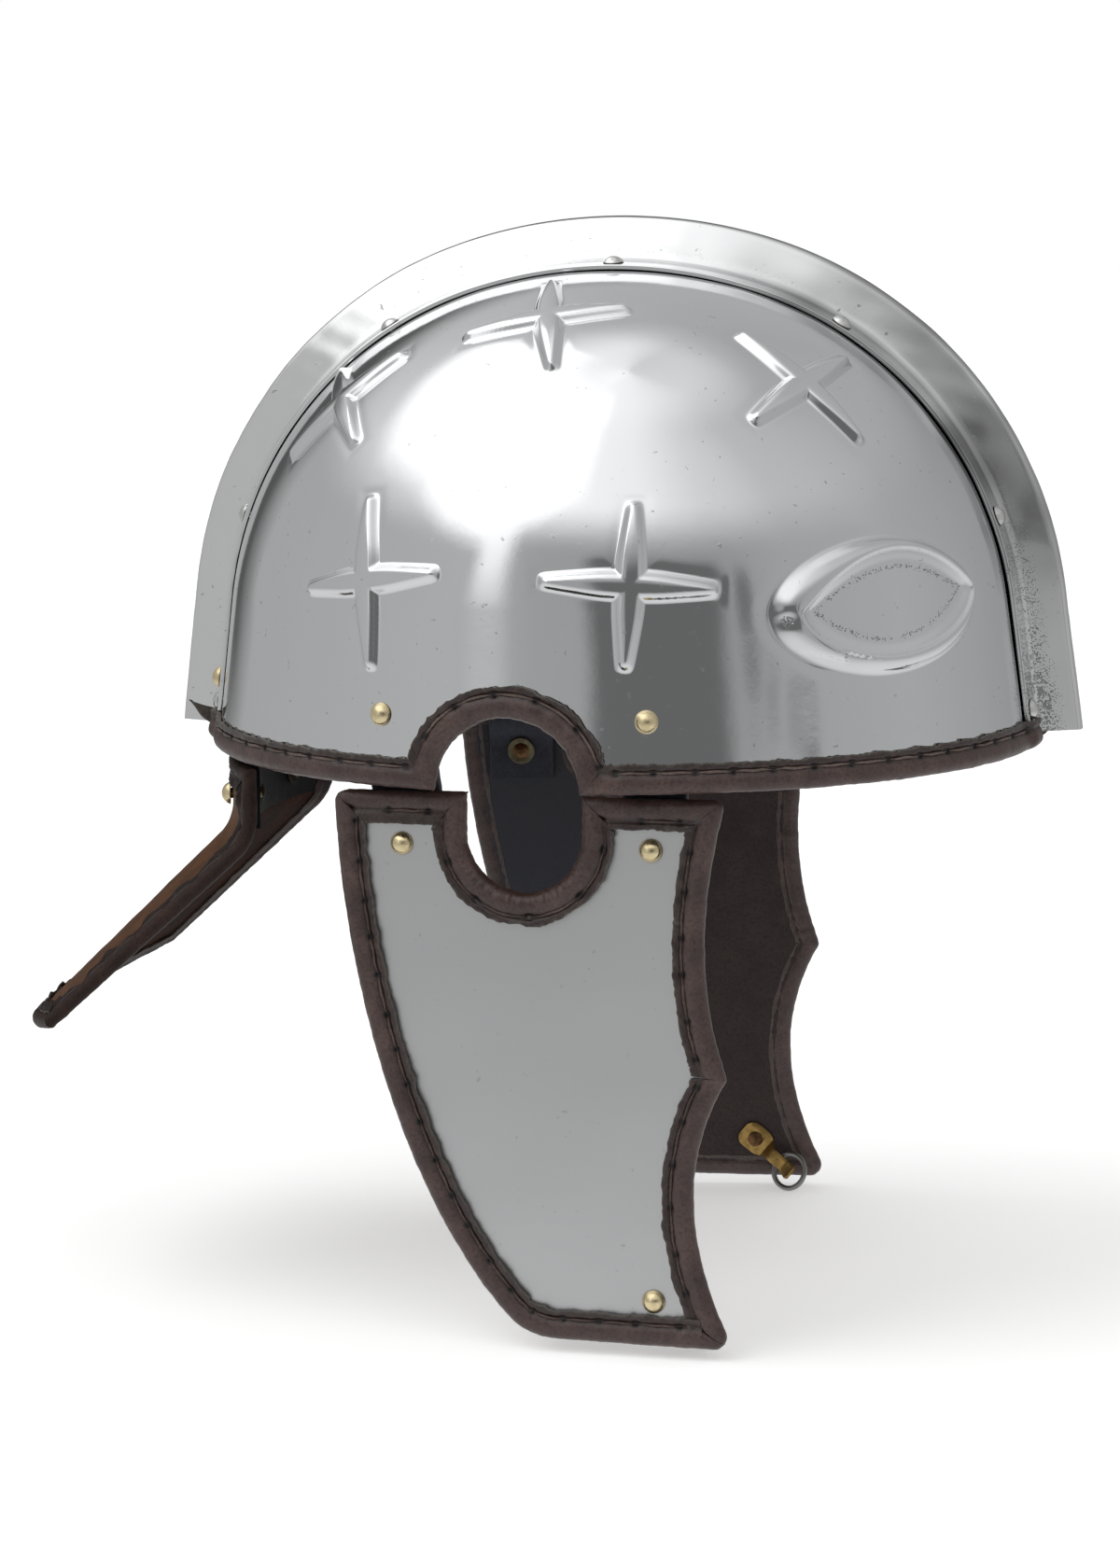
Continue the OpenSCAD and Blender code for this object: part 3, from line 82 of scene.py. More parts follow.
class Shape:
    """Vertices, faces and vertex values that are gathered into one mesh."""

    def __init__(self):
        self.points, self.faces, self.values, self.slots, self.count = [], [], {}, [], 0

    def add(self, points, faces, slot=0, **values):
        points = np.asarray(points, float).reshape(-1, 3)
        for f in faces if isinstance(faces, list) else [faces]:
            f = np.asarray(f, int)
            if len(f):
                self.faces.append(f + self.count)
                self.slots.append(np.full(len(f), slot, int))
        for name in set(values) | set(self.values):
            earlier = self.values.setdefault(name, [np.zeros(self.count)])
            v = values.get(name)
            earlier.append(np.zeros(len(points)) if v is None else np.asarray(v, float).ravel())
        self.points.append(points)
        self.count += len(points)
        return self

    def flipped(self):
        """The mirror image across the middle plane."""
        out = Shape()
        out.points = [p * [1, -1, 1] for p in self.points]
        out.faces = [f[:, ::-1] for f in self.faces]
        out.values, out.slots, out.count = self.values, self.slots, self.count
        return out

    def doubled(self):
        """The shape together with its mirror image."""
        out = Shape()
        for part in (self, self.flipped()):
            out.points += part.points
            out.faces += [f + out.count for f in part.faces]
            out.slots += part.slots
            for name, v in part.values.items():
                out.values.setdefault(name, []).extend(v)
            out.count += part.count
        return out

    def mesh(self, name, materials, sharp=40):
        me = bpy.data.meshes.new(name)
        co = np.concatenate(self.points) * MM
        me.vertices.add(len(co))
        me.vertices.foreach_set("co", co.astype(np.float32).ravel())
        sizes = np.concatenate([np.full(len(f), f.shape[1]) for f in self.faces])
        me.loops.add(int(sizes.sum()))
        me.loops.foreach_set("vertex_index", np.concatenate([f.ravel() for f in self.faces]))
        me.polygons.add(len(sizes))
        me.polygons.foreach_set("loop_start", np.concatenate([[0], np.cumsum(sizes)[:-1]]))
        me.polygons.foreach_set("material_index", np.concatenate(self.slots))
        me.update(calc_edges=True)
        me.validate()
        for key, parts in self.values.items():
            me.attributes.new(key, "FLOAT", "POINT").data.foreach_set(
                "value", np.concatenate(parts).astype(np.float32))
        for m in materials:
            me.materials.append(m)
        me.shade_smooth()
        me.set_sharp_from_angle(angle=math.radians(sharp))
        ob = bpy.data.objects.new(name, me)
        bpy.context.scene.collection.objects.link(ob)
        return ob


def loft_faces(count, sides, flip=False):
    """Faces of a skin round count rings of points, closed at both ends."""
    first = np.arange(sides)
    faces = [grid_faces(count, sides, wrap_cols=True), first[::-1][None],
             (first + (count - 1) * sides)[None]]
    return [f[:, ::-1] for f in faces] if flip else faces


def slab(shape, top, bottom, out):
    """A sheet between two grids of points, the first of which faces out at its corner."""
    rows, cols = top.shape[:2]
    ring = np.array([*range(cols), *range(2 * cols - 1, rows * cols, cols),
                     *range(rows * cols - 2, (rows - 1) * cols - 1, -1),
                     *range((rows - 2) * cols, 0, -cols)])
    on, up, quads = np.roll(ring, -1), rows * cols, grid_faces(rows, cols)
    faces = [quads, quads[:, ::-1] + up, np.stack([on, ring, ring + up, on + up], -1)]
    if np.cross(top[0, 1] - top[0, 0], top[1, 1] - top[0, 1]) @ out < 0:
        faces = [f[:, ::-1] for f in faces]
    return shape.add(np.concatenate([top, bottom]), faces)


def piece(shape, name, materials, body, slot, node=None, sharp=40, bend=None):
    """Makes the mesh, rides it on its body or, given bend, leaves it in place unattached, and lets
    it stand for its CAD node.
    """
    ob = shape.mesh(name, [M[m] for m in materials.split()], sharp)
    if bend:
        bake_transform(ob)
    else:
        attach(ob, body)
    if node:
        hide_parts(node)


def unit(v):
    return v / np.linalg.norm(v, axis=-1, keepdims=True)


def relax(v, times):
    """Evens out a run of values between its ends."""
    for _ in range(times):
        v[1:-1] = (v[:-2] + 2 * v[1:-1] + v[2:]) / 4
    return v


def bell(x, width):
    return np.exp(-(x / width) ** 2)


def smooth(x, a=0.0, b=1.0):
    t = np.clip((x - a) / (b - a), 0, 1)
    return t * t * (3 - 2 * t)


def waves(p, size, seed, octaves=3):
    """Smooth noise from crossing waves, about -1 to 1, at points or numbers p."""
    p = np.asarray(p, float)
    flat = p if p.ndim and p.shape[-1] == 3 else np.stack([p, 0 * p, 0 * p], -1)
    rng = np.random.default_rng(seed)
    total, weight = 0, 0
    for k in range(octaves):
        for _ in range(5):
            d = rng.normal(size=3)
            d /= np.linalg.norm(d) if p.ndim and p.shape[-1] == 3 else abs(d[0])
            d *= rng.uniform(0.7, 1.4)
            total = total + np.sin(flat @ d * (2 * math.pi * 2 ** k / size)
                                   + rng.uniform(0, 6.283)) * 0.6 ** k
        weight += 5 ** 0.5 * 0.6 ** k
    return total / weight


# Skull surface, as in the part

def profile(crown, shoulder, join, lean):
    """A half section of the skull: a crown arc, a shoulder arc and a straight lean below."""
    join, lean = math.radians(join), math.radians(lean)
    base = SKULL_H - crown
    mid = base + (crown - shoulder) * math.sin(join)
    shift = (crown - shoulder) * math.cos(join)
    return SimpleNamespace(
        crown=crown, shoulder=shoulder, base=base, shift=shift, mid=mid,
        join_z=base + crown * math.sin(join), foot_z=mid + shoulder * math.sin(lean),
        foot_x=shift + shoulder * math.cos(lean), flare=math.tan(lean), lean=lean, join=join)


LONG = profile(123.2, 97.1, 73, 7)
SIDE = profile(100, 86.5, 65, 5)
TINY = 1e-9


def half(p, z):
    z = np.asarray(z, float)
    crown = np.sqrt(np.maximum(TINY, p.crown ** 2 - (z - p.base) ** 2))
    shoulder = p.shift + np.sqrt(np.maximum(TINY, p.shoulder ** 2 - (z - p.mid) ** 2))
    lean = p.foot_x + p.flare * (p.foot_z - z)
    return np.where(z > p.join_z, crown, np.where(z > p.foot_z, shoulder, lean))


def slope(p, z):
    h = half(p, z)
    shoulder = -(z - p.mid) / np.maximum(TINY, h - p.shift)
    return np.where(z > p.join_z, -(z - p.base) / h, np.where(z > p.foot_z, shoulder, -p.flare))


def skull_point(phi, z):
    return np.stack([half(LONG, z) * np.cos(phi), -half(SIDE, z) * np.sin(phi),
                     z + 0 * phi], -1)


def skull_out(phi, z):
    a, b = half(LONG, z), half(SIDE, z)
    return unit(np.stack([
        np.cos(phi) / a, -np.sin(phi) / b,
        -np.cos(phi) ** 2 * slope(LONG, z) / a - np.sin(phi) ** 2 * slope(SIDE, z) / b], -1))


def skull_deep(phi, z, depth):
    return skull_point(phi, z) - skull_out(phi, z) * np.asarray(depth)[..., None]


def phi_of(x, z):
    return np.arccos(np.clip(x / half(LONG, z), -1, 1))


EAR_X, EAR_DROP, EAR_R = -14, 4, 22.3
ARCH_START = math.asin(EAR_DROP / EAR_R)
PHI_FRONT = float(phi_of(EAR_X + EAR_R * math.cos(ARCH_START), 0.0))
PHI_BACK = float(phi_of(EAR_X - EAR_R * math.cos(ARCH_START), 0.0))


def arch_point(turn):
    """Direction and height on the ear arch."""
    x, z = EAR_X + EAR_R * np.cos(turn), -EAR_DROP + EAR_R * np.sin(turn)
    return phi_of(x, z), z


# Embossings

# Direction, share of the skull's height, turn
STARS = ((120.5, 0.386, 9), (80.4, 0.389, -4), (102.2, 0.907, 19), (145.5, 0.73, -29),
         (43.3, 0.769, 25))
STAR_ARM, STAR_ROOT, STAR_TIP, STAR_RISE, STAR_FLANK = 21.8, 4.3, 2.0, 1.9, 2.0
EYE_AT = np.array([72.7, -65.1, 40.2])
EYE_RISE, EYE_FLAT, EYE_STEP = 2.5, 0.6, 0.65
EYE_FACES = unit(np.array([0.66, -0.74, 0.13]))
STAR_REACH, EYE_REACH = 30, 45


def tangent_frame(phi, z):
    n = skull_out(np.array(phi), np.array(z))
    across = unit(np.cross([0, 0, 1], n))
    return skull_point(np.array(phi), np.array(z)), across, np.cross(n, across)


def star_height(u, v, turn, seed):
    rng = np.random.default_rng(seed)
    inside = np.full(u.shape, -9.0)
    for k in range(4):
        a = math.radians(90 * k + turn + rng.uniform(-1.5, 1.5))
        along, aside = u * math.cos(a) + v * math.sin(a), -u * math.sin(a) + v * math.cos(a)
        arm = STAR_ARM + rng.uniform(-0.9, 0.9)
        share = np.clip(along / arm, 0, 1)
        w = STAR_ROOT + (STAR_TIP - STAR_ROOT) * share ** 1.25 - 0.3 * smooth(share, 0.4, 0)
        end = (arm - along) * 1.25
        side = np.where(along > 0, w - np.abs(aside), w - np.hypot(along, aside))
        soft = np.minimum(side, end) - 0.5 * np.exp(-np.abs(side - end) / 0.8)
        inside = np.maximum(inside, soft)
    t = smooth(inside, -0.35, STAR_FLANK)
    top = np.clip((inside - 0.8) / 3.0, 0, 1)
    # The flanks are near flat and meet in a rounded ridge line, and the foot is drawn in
    return STAR_RISE * (0.82 * t + 0.18 * np.sin(top * math.pi / 2)) \
        - 0.1 * (bell(np.minimum(0, inside + 0.35), 1.6) - t)


def lens(u, v, u0, v0, u1, v1, top, low, top_power, low_power):
    """Distance outside a lens with its points at (u0, v0) and (u1, v1)."""
    mid, length = (u0 + u1) / 2, (u1 - u0) / 2

    def bounds(x):
        full = np.maximum(0, 1 - x * x)
        line = v0 + (v1 - v0) * (x + 1) / 2
        return line + top * full ** top_power, line - low * full ** low_power

    x = -np.cos(np.linspace(0, math.pi, 90))
    upper, lower = bounds(x)
    line = np.concatenate([np.stack([mid + length * x, upper], -1),
                           np.stack([mid + length * x, lower], -1)[-2::-1]])
    best = np.full(u.shape, 1e9)
    for a, b in zip(line[:-1], line[1:]):
        ab = b - a
        t = np.clip(((u - a[0]) * ab[0] + (v - a[1]) * ab[1]) / (ab @ ab), 0, 1)
        best = np.minimum(best, np.hypot(u - a[0] - t * ab[0], v - a[1] - t * ab[1]))
    x = (u - mid) / length
    upper, lower = bounds(np.clip(x, -1, 1))
    return np.where((np.abs(x) < 1) & (v < upper) & (v > lower), -best, best)


def eye_height(u, v):
    """Height of the eye and the dirt in it, from its outer oval, crest line and inner flat."""
    x, y = u - 4.4, v + 0.85
    rho = np.maximum(1e-6, (np.abs(x / 32.2) ** 1.9 + np.abs(y / 17.45) ** 1.9) ** (1 / 1.9))
    foot = np.hypot(x, y) * (1 / rho - 1)
    crest = lens(u, v, -19.6, -0.6, 34.7, 2.0, 12.7, 14.2, 0.95, 0.6)
    flat = lens(u, v, -16.8, -0.4, 30.9, 2.1, 8.1, 10.2, 1.1, 0.95)
    band = np.clip(foot / np.maximum(0.3, foot + np.maximum(crest, 0)), 0, 1)
    outer = 0.7 * smooth(band, 0, 0.92) + 0.3 * smooth(band, 0, 0.6)
    bevel = np.clip(flat / np.maximum(0.2, flat + np.maximum(-crest, 0)), 0, 1)
    # The band's left end lies over its start as a lobe with a pointed tip
    side = v + 9.0 + (u + 23.8) * 0.298
    lobe = smooth(side, -0.6, 0.5) * smooth(u, -7.6, -9.8)
    outer = outer * (1 - 0.34 * (1 - lobe) * smooth(u, 3, -8) * smooth(v, 0, -4))
    dent = np.exp(-(((u + 23.3) / 2.3) ** 2 + ((v + 2.4) / 2.0) ** 2))
    inner = EYE_FLAT + (EYE_RISE - EYE_STEP - EYE_FLAT) * smooth(bevel) \
        + EYE_STEP * smooth(crest, -0.75, 0)
    h = np.where(crest > 0, EYE_RISE * outer, inner) - 0.6 * dent
    # Dirt lies in the dent, at the lobe's tip, along the step, round the flat's edge and at
    # the foot's right end
    tip = np.exp(-(((u + 8.6) / 0.9) ** 2 + ((v + 12.2) / 1.7) ** 2))
    dirt = np.max([
        0.9 * smooth(dent, 0.45, 0.75), 0.9 * tip, 0.34 * bell(crest + 0.55, 0.5),
        0.75 * bell(flat + 0.4, 0.9) * (crest < 0),
        0.4 * bell(np.abs(foot) - 0.2, 1.3) * smooth(u, 22, 32),
        0.35 * bell(side, 0.6) * smooth(u, -8.4, -9.5) * smooth(u, -24, -20)], 0)
    # The sheet is drawn in a little round the foot
    blend = smooth(foot, -1.2, 1.8)
    drawn = 0.08 * bell(np.minimum(0, foot), 2.0) * (1 - blend)
    return np.where(foot > 0, h, 0) * blend - drawn, dirt


def emboss(points):
    """Height of the embossings at points of the right half, and the dirt in them."""
    h, dirt = np.zeros(points.shape[:-1]), np.zeros(points.shape[:-1])

    def add(at, across, up, reach, height):
        d = points - at
        near = np.linalg.norm(d, axis=-1) < reach
        rise, stain = height(d[near] @ across, d[near] @ up)
        h[near] += rise
        dirt[near] = np.maximum(dirt[near], stain)

    for k, (phi, share, turn) in enumerate(STARS):
        def star(u, v):
            rise = star_height(u, v, turn, 20 + k)
            return rise, 0.3 * bell(rise - 0.4, 0.15)

        add(*tangent_frame(math.radians(phi), share * SKULL_H), STAR_REACH, star)
    across = unit(np.cross([0, 0, 1], EYE_FACES))
    add(EYE_AT, across, np.cross(EYE_FACES, across), EYE_REACH, eye_height)
    return h, dirt


def skull_half():
    """The right half of the bowl, with finer squares over the embossings."""
    rows, cols, fine, thin = 128, 272, 3, 8
    arch_fade, seam, busy_height = 60, 0.3, 0.012
    # Columns in front of and over the ear arch
    front, arch = 102, 81
    i = np.arange(cols * fine + 1) / fine
    turn = ARCH_START + (math.pi - 2 * ARCH_START) * np.clip((i - front) / arch, 0, 1)
    over, rise = arch_point(turn)
    behind_arch = np.clip((i - front - arch) / (cols - front - arch), 0, 1)
    back = PHI_BACK + (math.pi - PHI_BACK) * behind_arch
    edge_phi = np.where(i <= front, PHI_FRONT * i / front, np.where(i < front + arch, over, back))
    edge_z = np.where((i > front) & (i < front + arch), rise, 0)
    j = np.arange(rows * fine + 1)[:, None] / fine
    z0 = (SKULL_H - 0.004) * np.sin(math.pi / 2 * j / rows)
    t = np.minimum(1, z0 / arch_fade)
    phi = edge_phi * (1 - t) + math.pi * i / cols * t
    z = z0 + edge_z * (1 - t)
    p, n = skull_point(phi, z), skull_out(phi, z)
    aside = np.zeros(p.shape)
    aside[..., 1] = -seam * (1 - np.sin(phi) * np.minimum(1, half(SIDE, z) / 20))
    h, dirt = emboss(p)
    dents = 0.05 * waves(p, 46, 3, 2) + 0.012 * waves(p, 13, 4, 1)
    outer = p + n * (h + dents)[..., None] + aside

    def beside(mask):
        """The mask's values below, right of, above and left of each square."""
        m = np.pad(mask, 1)
        return m[:-2, 1:-1], m[1:-1, 2:], m[2:, 1:-1], m[1:-1, :-2]

    def squares(y, x, size):
        return np.stack([at[y, x], at[y, x + size], at[y + size, x + size], at[y + size, x]], -1)

    # Squares over the embossings are divided, and their neighbours take the points between
    busy = np.abs(h)[:-1, :-1].reshape(rows, fine, cols, fine).max((1, 3)) > busy_height
    grown = np.any([busy, *beside(busy)], 0)
    grown[[0, -1]] = False
    grown[:, [0, -1]] = False
    sides = np.stack(beside(grown), -1)
    plain = ~grown & ~sides.any(-1)
    at = np.arange(h.size).reshape(h.shape)
    y, x = (v * fine for v in np.nonzero(grown))
    faces = [squares(y + dy, x + dx, 1) for dy in range(fine) for dx in range(fine)]
    faces.append(squares(*(v * fine for v in np.nonzero(plain)), fine))
    odd = {}
    for row, col in zip(*np.nonzero(~grown & ~plain)):
        y, x = row * fine, col * fine
        corners = ((y, x), (y, x + fine), (y + fine, x + fine), (y + fine, x), (y, x))
        loop = []
        for (y0, x0), (y1, x1), divided in zip(corners, corners[1:], sides[row, col]):
            steps = fine if divided else 1
            loop += [at[y0 + (y1 - y0) * m // steps, x0 + (x1 - x0) * m // steps]
                     for m in range(steps)]
        odd.setdefault(len(loop), []).append(loop)
    faces += [np.array(v) for v in odd.values()]
    used = np.unique(np.concatenate([f.ravel() for f in faces]))
    short = np.full(at.size, -1)
    short[used] = np.arange(len(used))
    shape = Shape().add(outer.reshape(-1, 3)[used], [short[f] for f in faces],
                        stain=dirt.ravel()[used])
    inner = (p + n * (h * 0.8 - SKULL_T)[..., None] + aside)[::thin * fine, ::thin * fine]
    first, few = shape.count, inner.shape[1]
    shape.add(inner, grid_faces(*inner.shape[:2])[:, ::-1])
    coarse = short[at[::fine, ::fine]]
    strips = []
    for k in range(cols // thin):
        on = slice(k * thin, (k + 1) * thin + 1)
        high = first + (rows // thin) * few + k
        strips += [[*coarse[0, on][::-1], first + k, first + k + 1],
                   [*coarse[-1, on], high + 1, high]]
    for k in range(rows // thin):
        on = slice(k * thin, (k + 1) * thin + 1)
        low, high = first + k * few, first + (k + 1) * few
        strips += [[*coarse[on, 0], high, low],
                   [*coarse[on, -1][::-1], low + few - 1, high + few - 1]]
    return shape.add(np.zeros((0, 3)), np.array(strips) - shape.count)


# Ridge

RIDGE_HALF_W, RIDGE_RIVET_Y, RIDGE_FOOT_Y, RIDGE_T = 14.7, 10.9, 6.9, 1.2
RIDGE_TOP, RIDGE_RISE, RIDGE_TILT = 2.8, 12.2, math.radians(7)
FLANGE_RISE = GAP - RIDGE_RIVET_Y ** 2 / 200
FLANGE_OUT = FLANGE_RISE + RIDGE_T


def flange_in(y):
    return FLANGE_RISE - math.tan(RIDGE_TILT) * (y - RIDGE_RIVET_Y)


def corner(points, k, r, steps):
    """Points of an arc that rounds corner k of a line."""
    a, b, c = (np.array(points[j], float) for j in (k - 1, k, k + 1))
    u, v = unit(a - b), unit(c - b)
    t = np.linspace(0, 1, steps + 1)[:, None]
    p0, p1 = b + u * r, b + v * r
    return (1 - t) ** 2 * p0 + 2 * t * (1 - t) * b + t ** 2 * p1


def ridge_section():
    """Half section of the outer face from the flange's underside to the crest's middle."""
    foot = flange_in(RIDGE_FOOT_Y) + RIDGE_T
    w, edge = RIDGE_HALF_W, flange_in(RIDGE_HALF_W)
    line = [(w - 2, flange_in(w - 2)), (w, edge), (w, edge + RIDGE_T), (RIDGE_FOOT_Y + 0.2, foot),
            (RIDGE_TOP + 0.1, RIDGE_RISE - 0.1), (0, RIDGE_RISE + 0.15)]
    parts = [[line[0]], corner(line, 1, 0.2, 2), corner(line, 2, 0.35, 4), corner(line, 3, 1.7, 6),
             corner(line, 4, 1.0, 5), [line[5]]]
    return np.concatenate([np.array(p, float).reshape(-1, 2) for p in parts])


def ridge():
    side, fine = ridge_section(), []
    for a, b in zip(side[:-1], side[1:]):
        n = max(1, int(np.linalg.norm(b - a) / 0.9))
        fine += [a + (b - a) * k / n for k in range(n)]
    side = np.array(fine + [side[-1]])
    steep = (RIDGE_TOP - RIDGE_FOOT_Y) / (RIDGE_RISE - 1.4)
    inside = np.array([(RIDGE_TOP - 0.9 - 0.3, RIDGE_RISE - RIDGE_T),
                       (RIDGE_FOOT_Y - 1.1 - steep * 0.2, flange_in(RIDGE_FOOT_Y))])
    ring = np.concatenate([side, side[-2::-1] * [-1, 1], inside[::-1] * [-1, 1], inside])

    def on_arc(x, z, r, e):
        r = r + ring[:, 1]
        return np.stack([x + r * math.cos(e), -ring[:, 0], z + r * math.sin(e)], -1)

    # The leg runs straight from the level edge to the shoulder
    shoulder = LONG.shift, LONG.mid, LONG.shoulder
    top = on_arc(*shoulder, LONG.lean)
    low = float(half(LONG, 0)) + ring[:, 1] / math.cos(LONG.lean)
    rows = [np.stack([low + (top[:, 0] - low) * t, -ring[:, 0], top[:, 2] * t], -1)
            for t in np.linspace(0, 1, 14)[:-1]]
    rows += [on_arc(*shoulder, e) for e in np.linspace(LONG.lean, LONG.join, 90)]
    rows += [on_arc(0, LONG.base, LONG.crown, e)
             for e in np.linspace(LONG.join, math.pi / 2, 24)[1:]]
    rows = np.array(rows + [r * [-1, 1, 1] for r in rows[-2::-1]])
    dents = 0.10 * waves(rows, 38, 8, 2) + 0.03 * waves(rows, 9, 9, 1)
    rows = rows + unit(rows - rows.mean(1, keepdims=True)) * dents[..., None] * [1, 1, 0.4]
    # Pitting along the foot of the crest, worst low down in front
    front = smooth(rows[..., 0], 60, 100) * smooth(rows[..., 2], 84, 30)
    foot = bell(ring[:, 1] - 3.4, 1.6 + 2.2 * front)
    low = front * smooth(rows[..., 2], 26, 6) * (ring[:, 1] < 9)
    pitted = (0.3 + 0.45 * front) * foot + 0.3 * low
    brow = smooth(rows[..., 0], 22, 52) * smooth(rows[..., 2], 20, 60)
    brow = brow * (0.55 + 0.35 * waves(rows, 30, 12, 2))
    return Shape().add(rows, loft_faces(*rows.shape[:2]), stain=pitted, dark=brow)


# Places that rivets sit on

def turn_to(n):
    """Columns are the axes of a frame whose third axis is n."""
    n = unit(np.asarray(n, float))
    x = unit(np.cross([0.0, 0.0, 1.0] if abs(n[2]) < 0.9 else [1.0, 0.0, 0.0], n))
    return np.stack([x, np.cross(n, x), n], 1)


def on_leg(z):
    foot = z - FLANGE_OUT * math.sin(LONG.lean)
    return float(half(LONG, foot)), foot, LONG.lean


def on_shoulder(e):
    e = math.radians(e)
    return LONG.shift + LONG.shoulder * math.cos(e), LONG.mid + LONG.shoulder * math.sin(e), e


def behind(p):
    return -p[0], p[1], math.pi - p[2]


def ridge_seat(p):
    x, z, e = p
    at = np.array([x + FLANGE_OUT * math.cos(e), -RIDGE_RIVET_Y, z + FLANGE_OUT * math.sin(e)])
    return at, np.array([math.cos(e) * math.cos(RIDGE_TILT), -math.sin(RIDGE_TILT),
                         math.sin(e) * math.cos(RIDGE_TILT)])


RIDGE_FRONT = [on_leg(6.3), on_shoulder(20), on_shoulder(58)]
RIDGE_PLACES = [ridge_seat(p) for p in RIDGE_FRONT + [(0, SKULL_H, math.pi / 2)]
                + [behind(q) for q in RIDGE_FRONT]]
NECK_TOP_Z = 12.6
NECK_TOP_PLACE = ridge_seat(behind(on_leg(NECK_TOP_Z)))


LATHE_STEPS = 28


def dome(d, h, steps=9):
    """Profile of a domed head from its foot to its top, as [radius, height]."""
    r = (d * d / 4 + h * h) / (2 * h)
    a = np.linspace(math.asin(min(1, d / 2 / r)), 0.0, steps)
    return np.stack([r * np.sin(a), h - r + r * np.cos(a)], -1)


def turned(line, segments, at, out):
    """A profile of [radius, height], turned round an axis."""
    line, a = np.asarray(line, float), np.arange(segments) * 2 * math.pi / segments
    r, h = line[:, :1], line[:, 1:]
    return np.stack([r * np.cos(a), r * np.sin(a), h + 0 * a], -1) @ turn_to(out).T + at


def lathe(shape, at, out, line, seed, rough, **values):
    """A turned profile with closed ends and a hammered surface."""
    p = turned(line, LATHE_STEPS, at, out)
    p = p + (waves(p, 3.1, seed, 2) * rough)[..., None] * unit(np.asarray(out, float))
    shape.add(p, loft_faces(*p.shape[:2]), **values)


def rivet(shape, at, out, grip, seed, d=6, h=2.3, tail=0.9):
    """A rivet whose shank reaches in by grip, with a peened tail of material 1 if it shows."""
    head = dome(d, h)
    line = [[1.4, -grip], [1.4, 0.0], [d / 2 - 0.25, 0.02], [d / 2, 0.18],
            *(head[1:-1] + [0, 0.1]), [0.05, h + 0.1]]
    shade = np.zeros((len(line), LATHE_STEPS))
    shade[:3], shade[3] = 1, 0.6
    lathe(shape, at, out, line, seed, 0.02, dark=shade)
    if tail:
        peen = [[2.0, -0.02], *dome(4.5, tail, 6)[:-1], [0.05, tail]]
        lathe(shape, at - unit(out) * grip, -out, peen, seed + 1, 0.12, slot=1)


def washer(shape, at, out, d=7.6, hole=1.5, t=0.8, r=0.16):
    """Washer whose inner face lies on the point, built towards out."""
    line = [[hole, 0.1], [hole, t - 0.1], [hole + 0.15, t], [d / 2 - r, t], [d / 2, t - r],
            [d / 2, r], [d / 2 - r, 0], [hole + 0.15, 0]]
    shape.add(turned(line, 36, at, out), grid_faces(len(line), 36, True, True)[:, ::-1])


# Folded leather

class Curve:
    """Edge of a sheet: point, outward normal and inward direction by distance along it."""

    def __init__(self, points, normals, inward):
        self.p, self.n, self.b = (np.asarray(v, float) for v in (points, normals, inward))
        step = np.linalg.norm(np.diff(self.p, axis=0), axis=1)
        self.s = np.concatenate([[0], np.cumsum(step)])

    def __call__(self, s):
        """Straight beyond the ends, so that mitres can reach past a corner."""
        p, n, b = (np.stack([np.interp(s, self.s, v[:, k]) for k in range(3)], -1)
                   for v in (self.p, self.n, self.b))
        low = (self.p[1] - self.p[0]) / self.s[1]
        high = (self.p[-1] - self.p[-2]) / (self.s[-1] - self.s[-2])
        p = (p + np.minimum(0, s)[..., None] * low
             + np.maximum(0, s - self.s[-1])[..., None] * high)
        return p, unit(n), unit(b)

    @property
    def length(self):
        return self.s[-1]

    def along(self, s):
        e = 0.05
        return unit(self(np.array(s + e))[0] - self(np.array(s - e))[0])


def edge_curve(p, n, towards):
    """A curve whose inward direction is the one that turns towards."""
    b = np.cross(unit(np.gradient(p, axis=0)), n)
    return Curve(p, n, b * np.sign((b * towards).sum(-1, keepdims=True)))


def mitre(one, two):
    """Shift along each strip per unit inward, where the end of one meets the start of two."""
    s = one.length
    _, n, b1 = one(np.array(s))
    b2 = two(np.array(0))[2]
    m = unit(b1 + b2 - n * ((b1 + b2) @ n))
    return float(m @ one.along(s) / (m @ b1)), float(m @ two.along(0) / (m @ b2))


def closed_loop(curves):
    """The curves of a closed outline, by name, each with the mitres at its two ends."""
    names = list(curves)
    ks = {}
    for a, b in zip(names, names[1:] + names[:1]):
        ks[a, 1], ks[b, 0] = mitre(curves[a], curves[b])
    return [(name, curves[name], ks[name, 0], ks[name, 1]) for name in names]


def fold(thick, slot, out, inn, edge, stitch, pitch=10.0, puff=0.35, groove=0.4, ragged=0.35,
         lift=0.25, grain=0.09):
    """Sizes of a folded strip: the leather, its slot, flaps, edge and stitch line."""
    return SimpleNamespace(**locals())


MITRE_FADE = 9


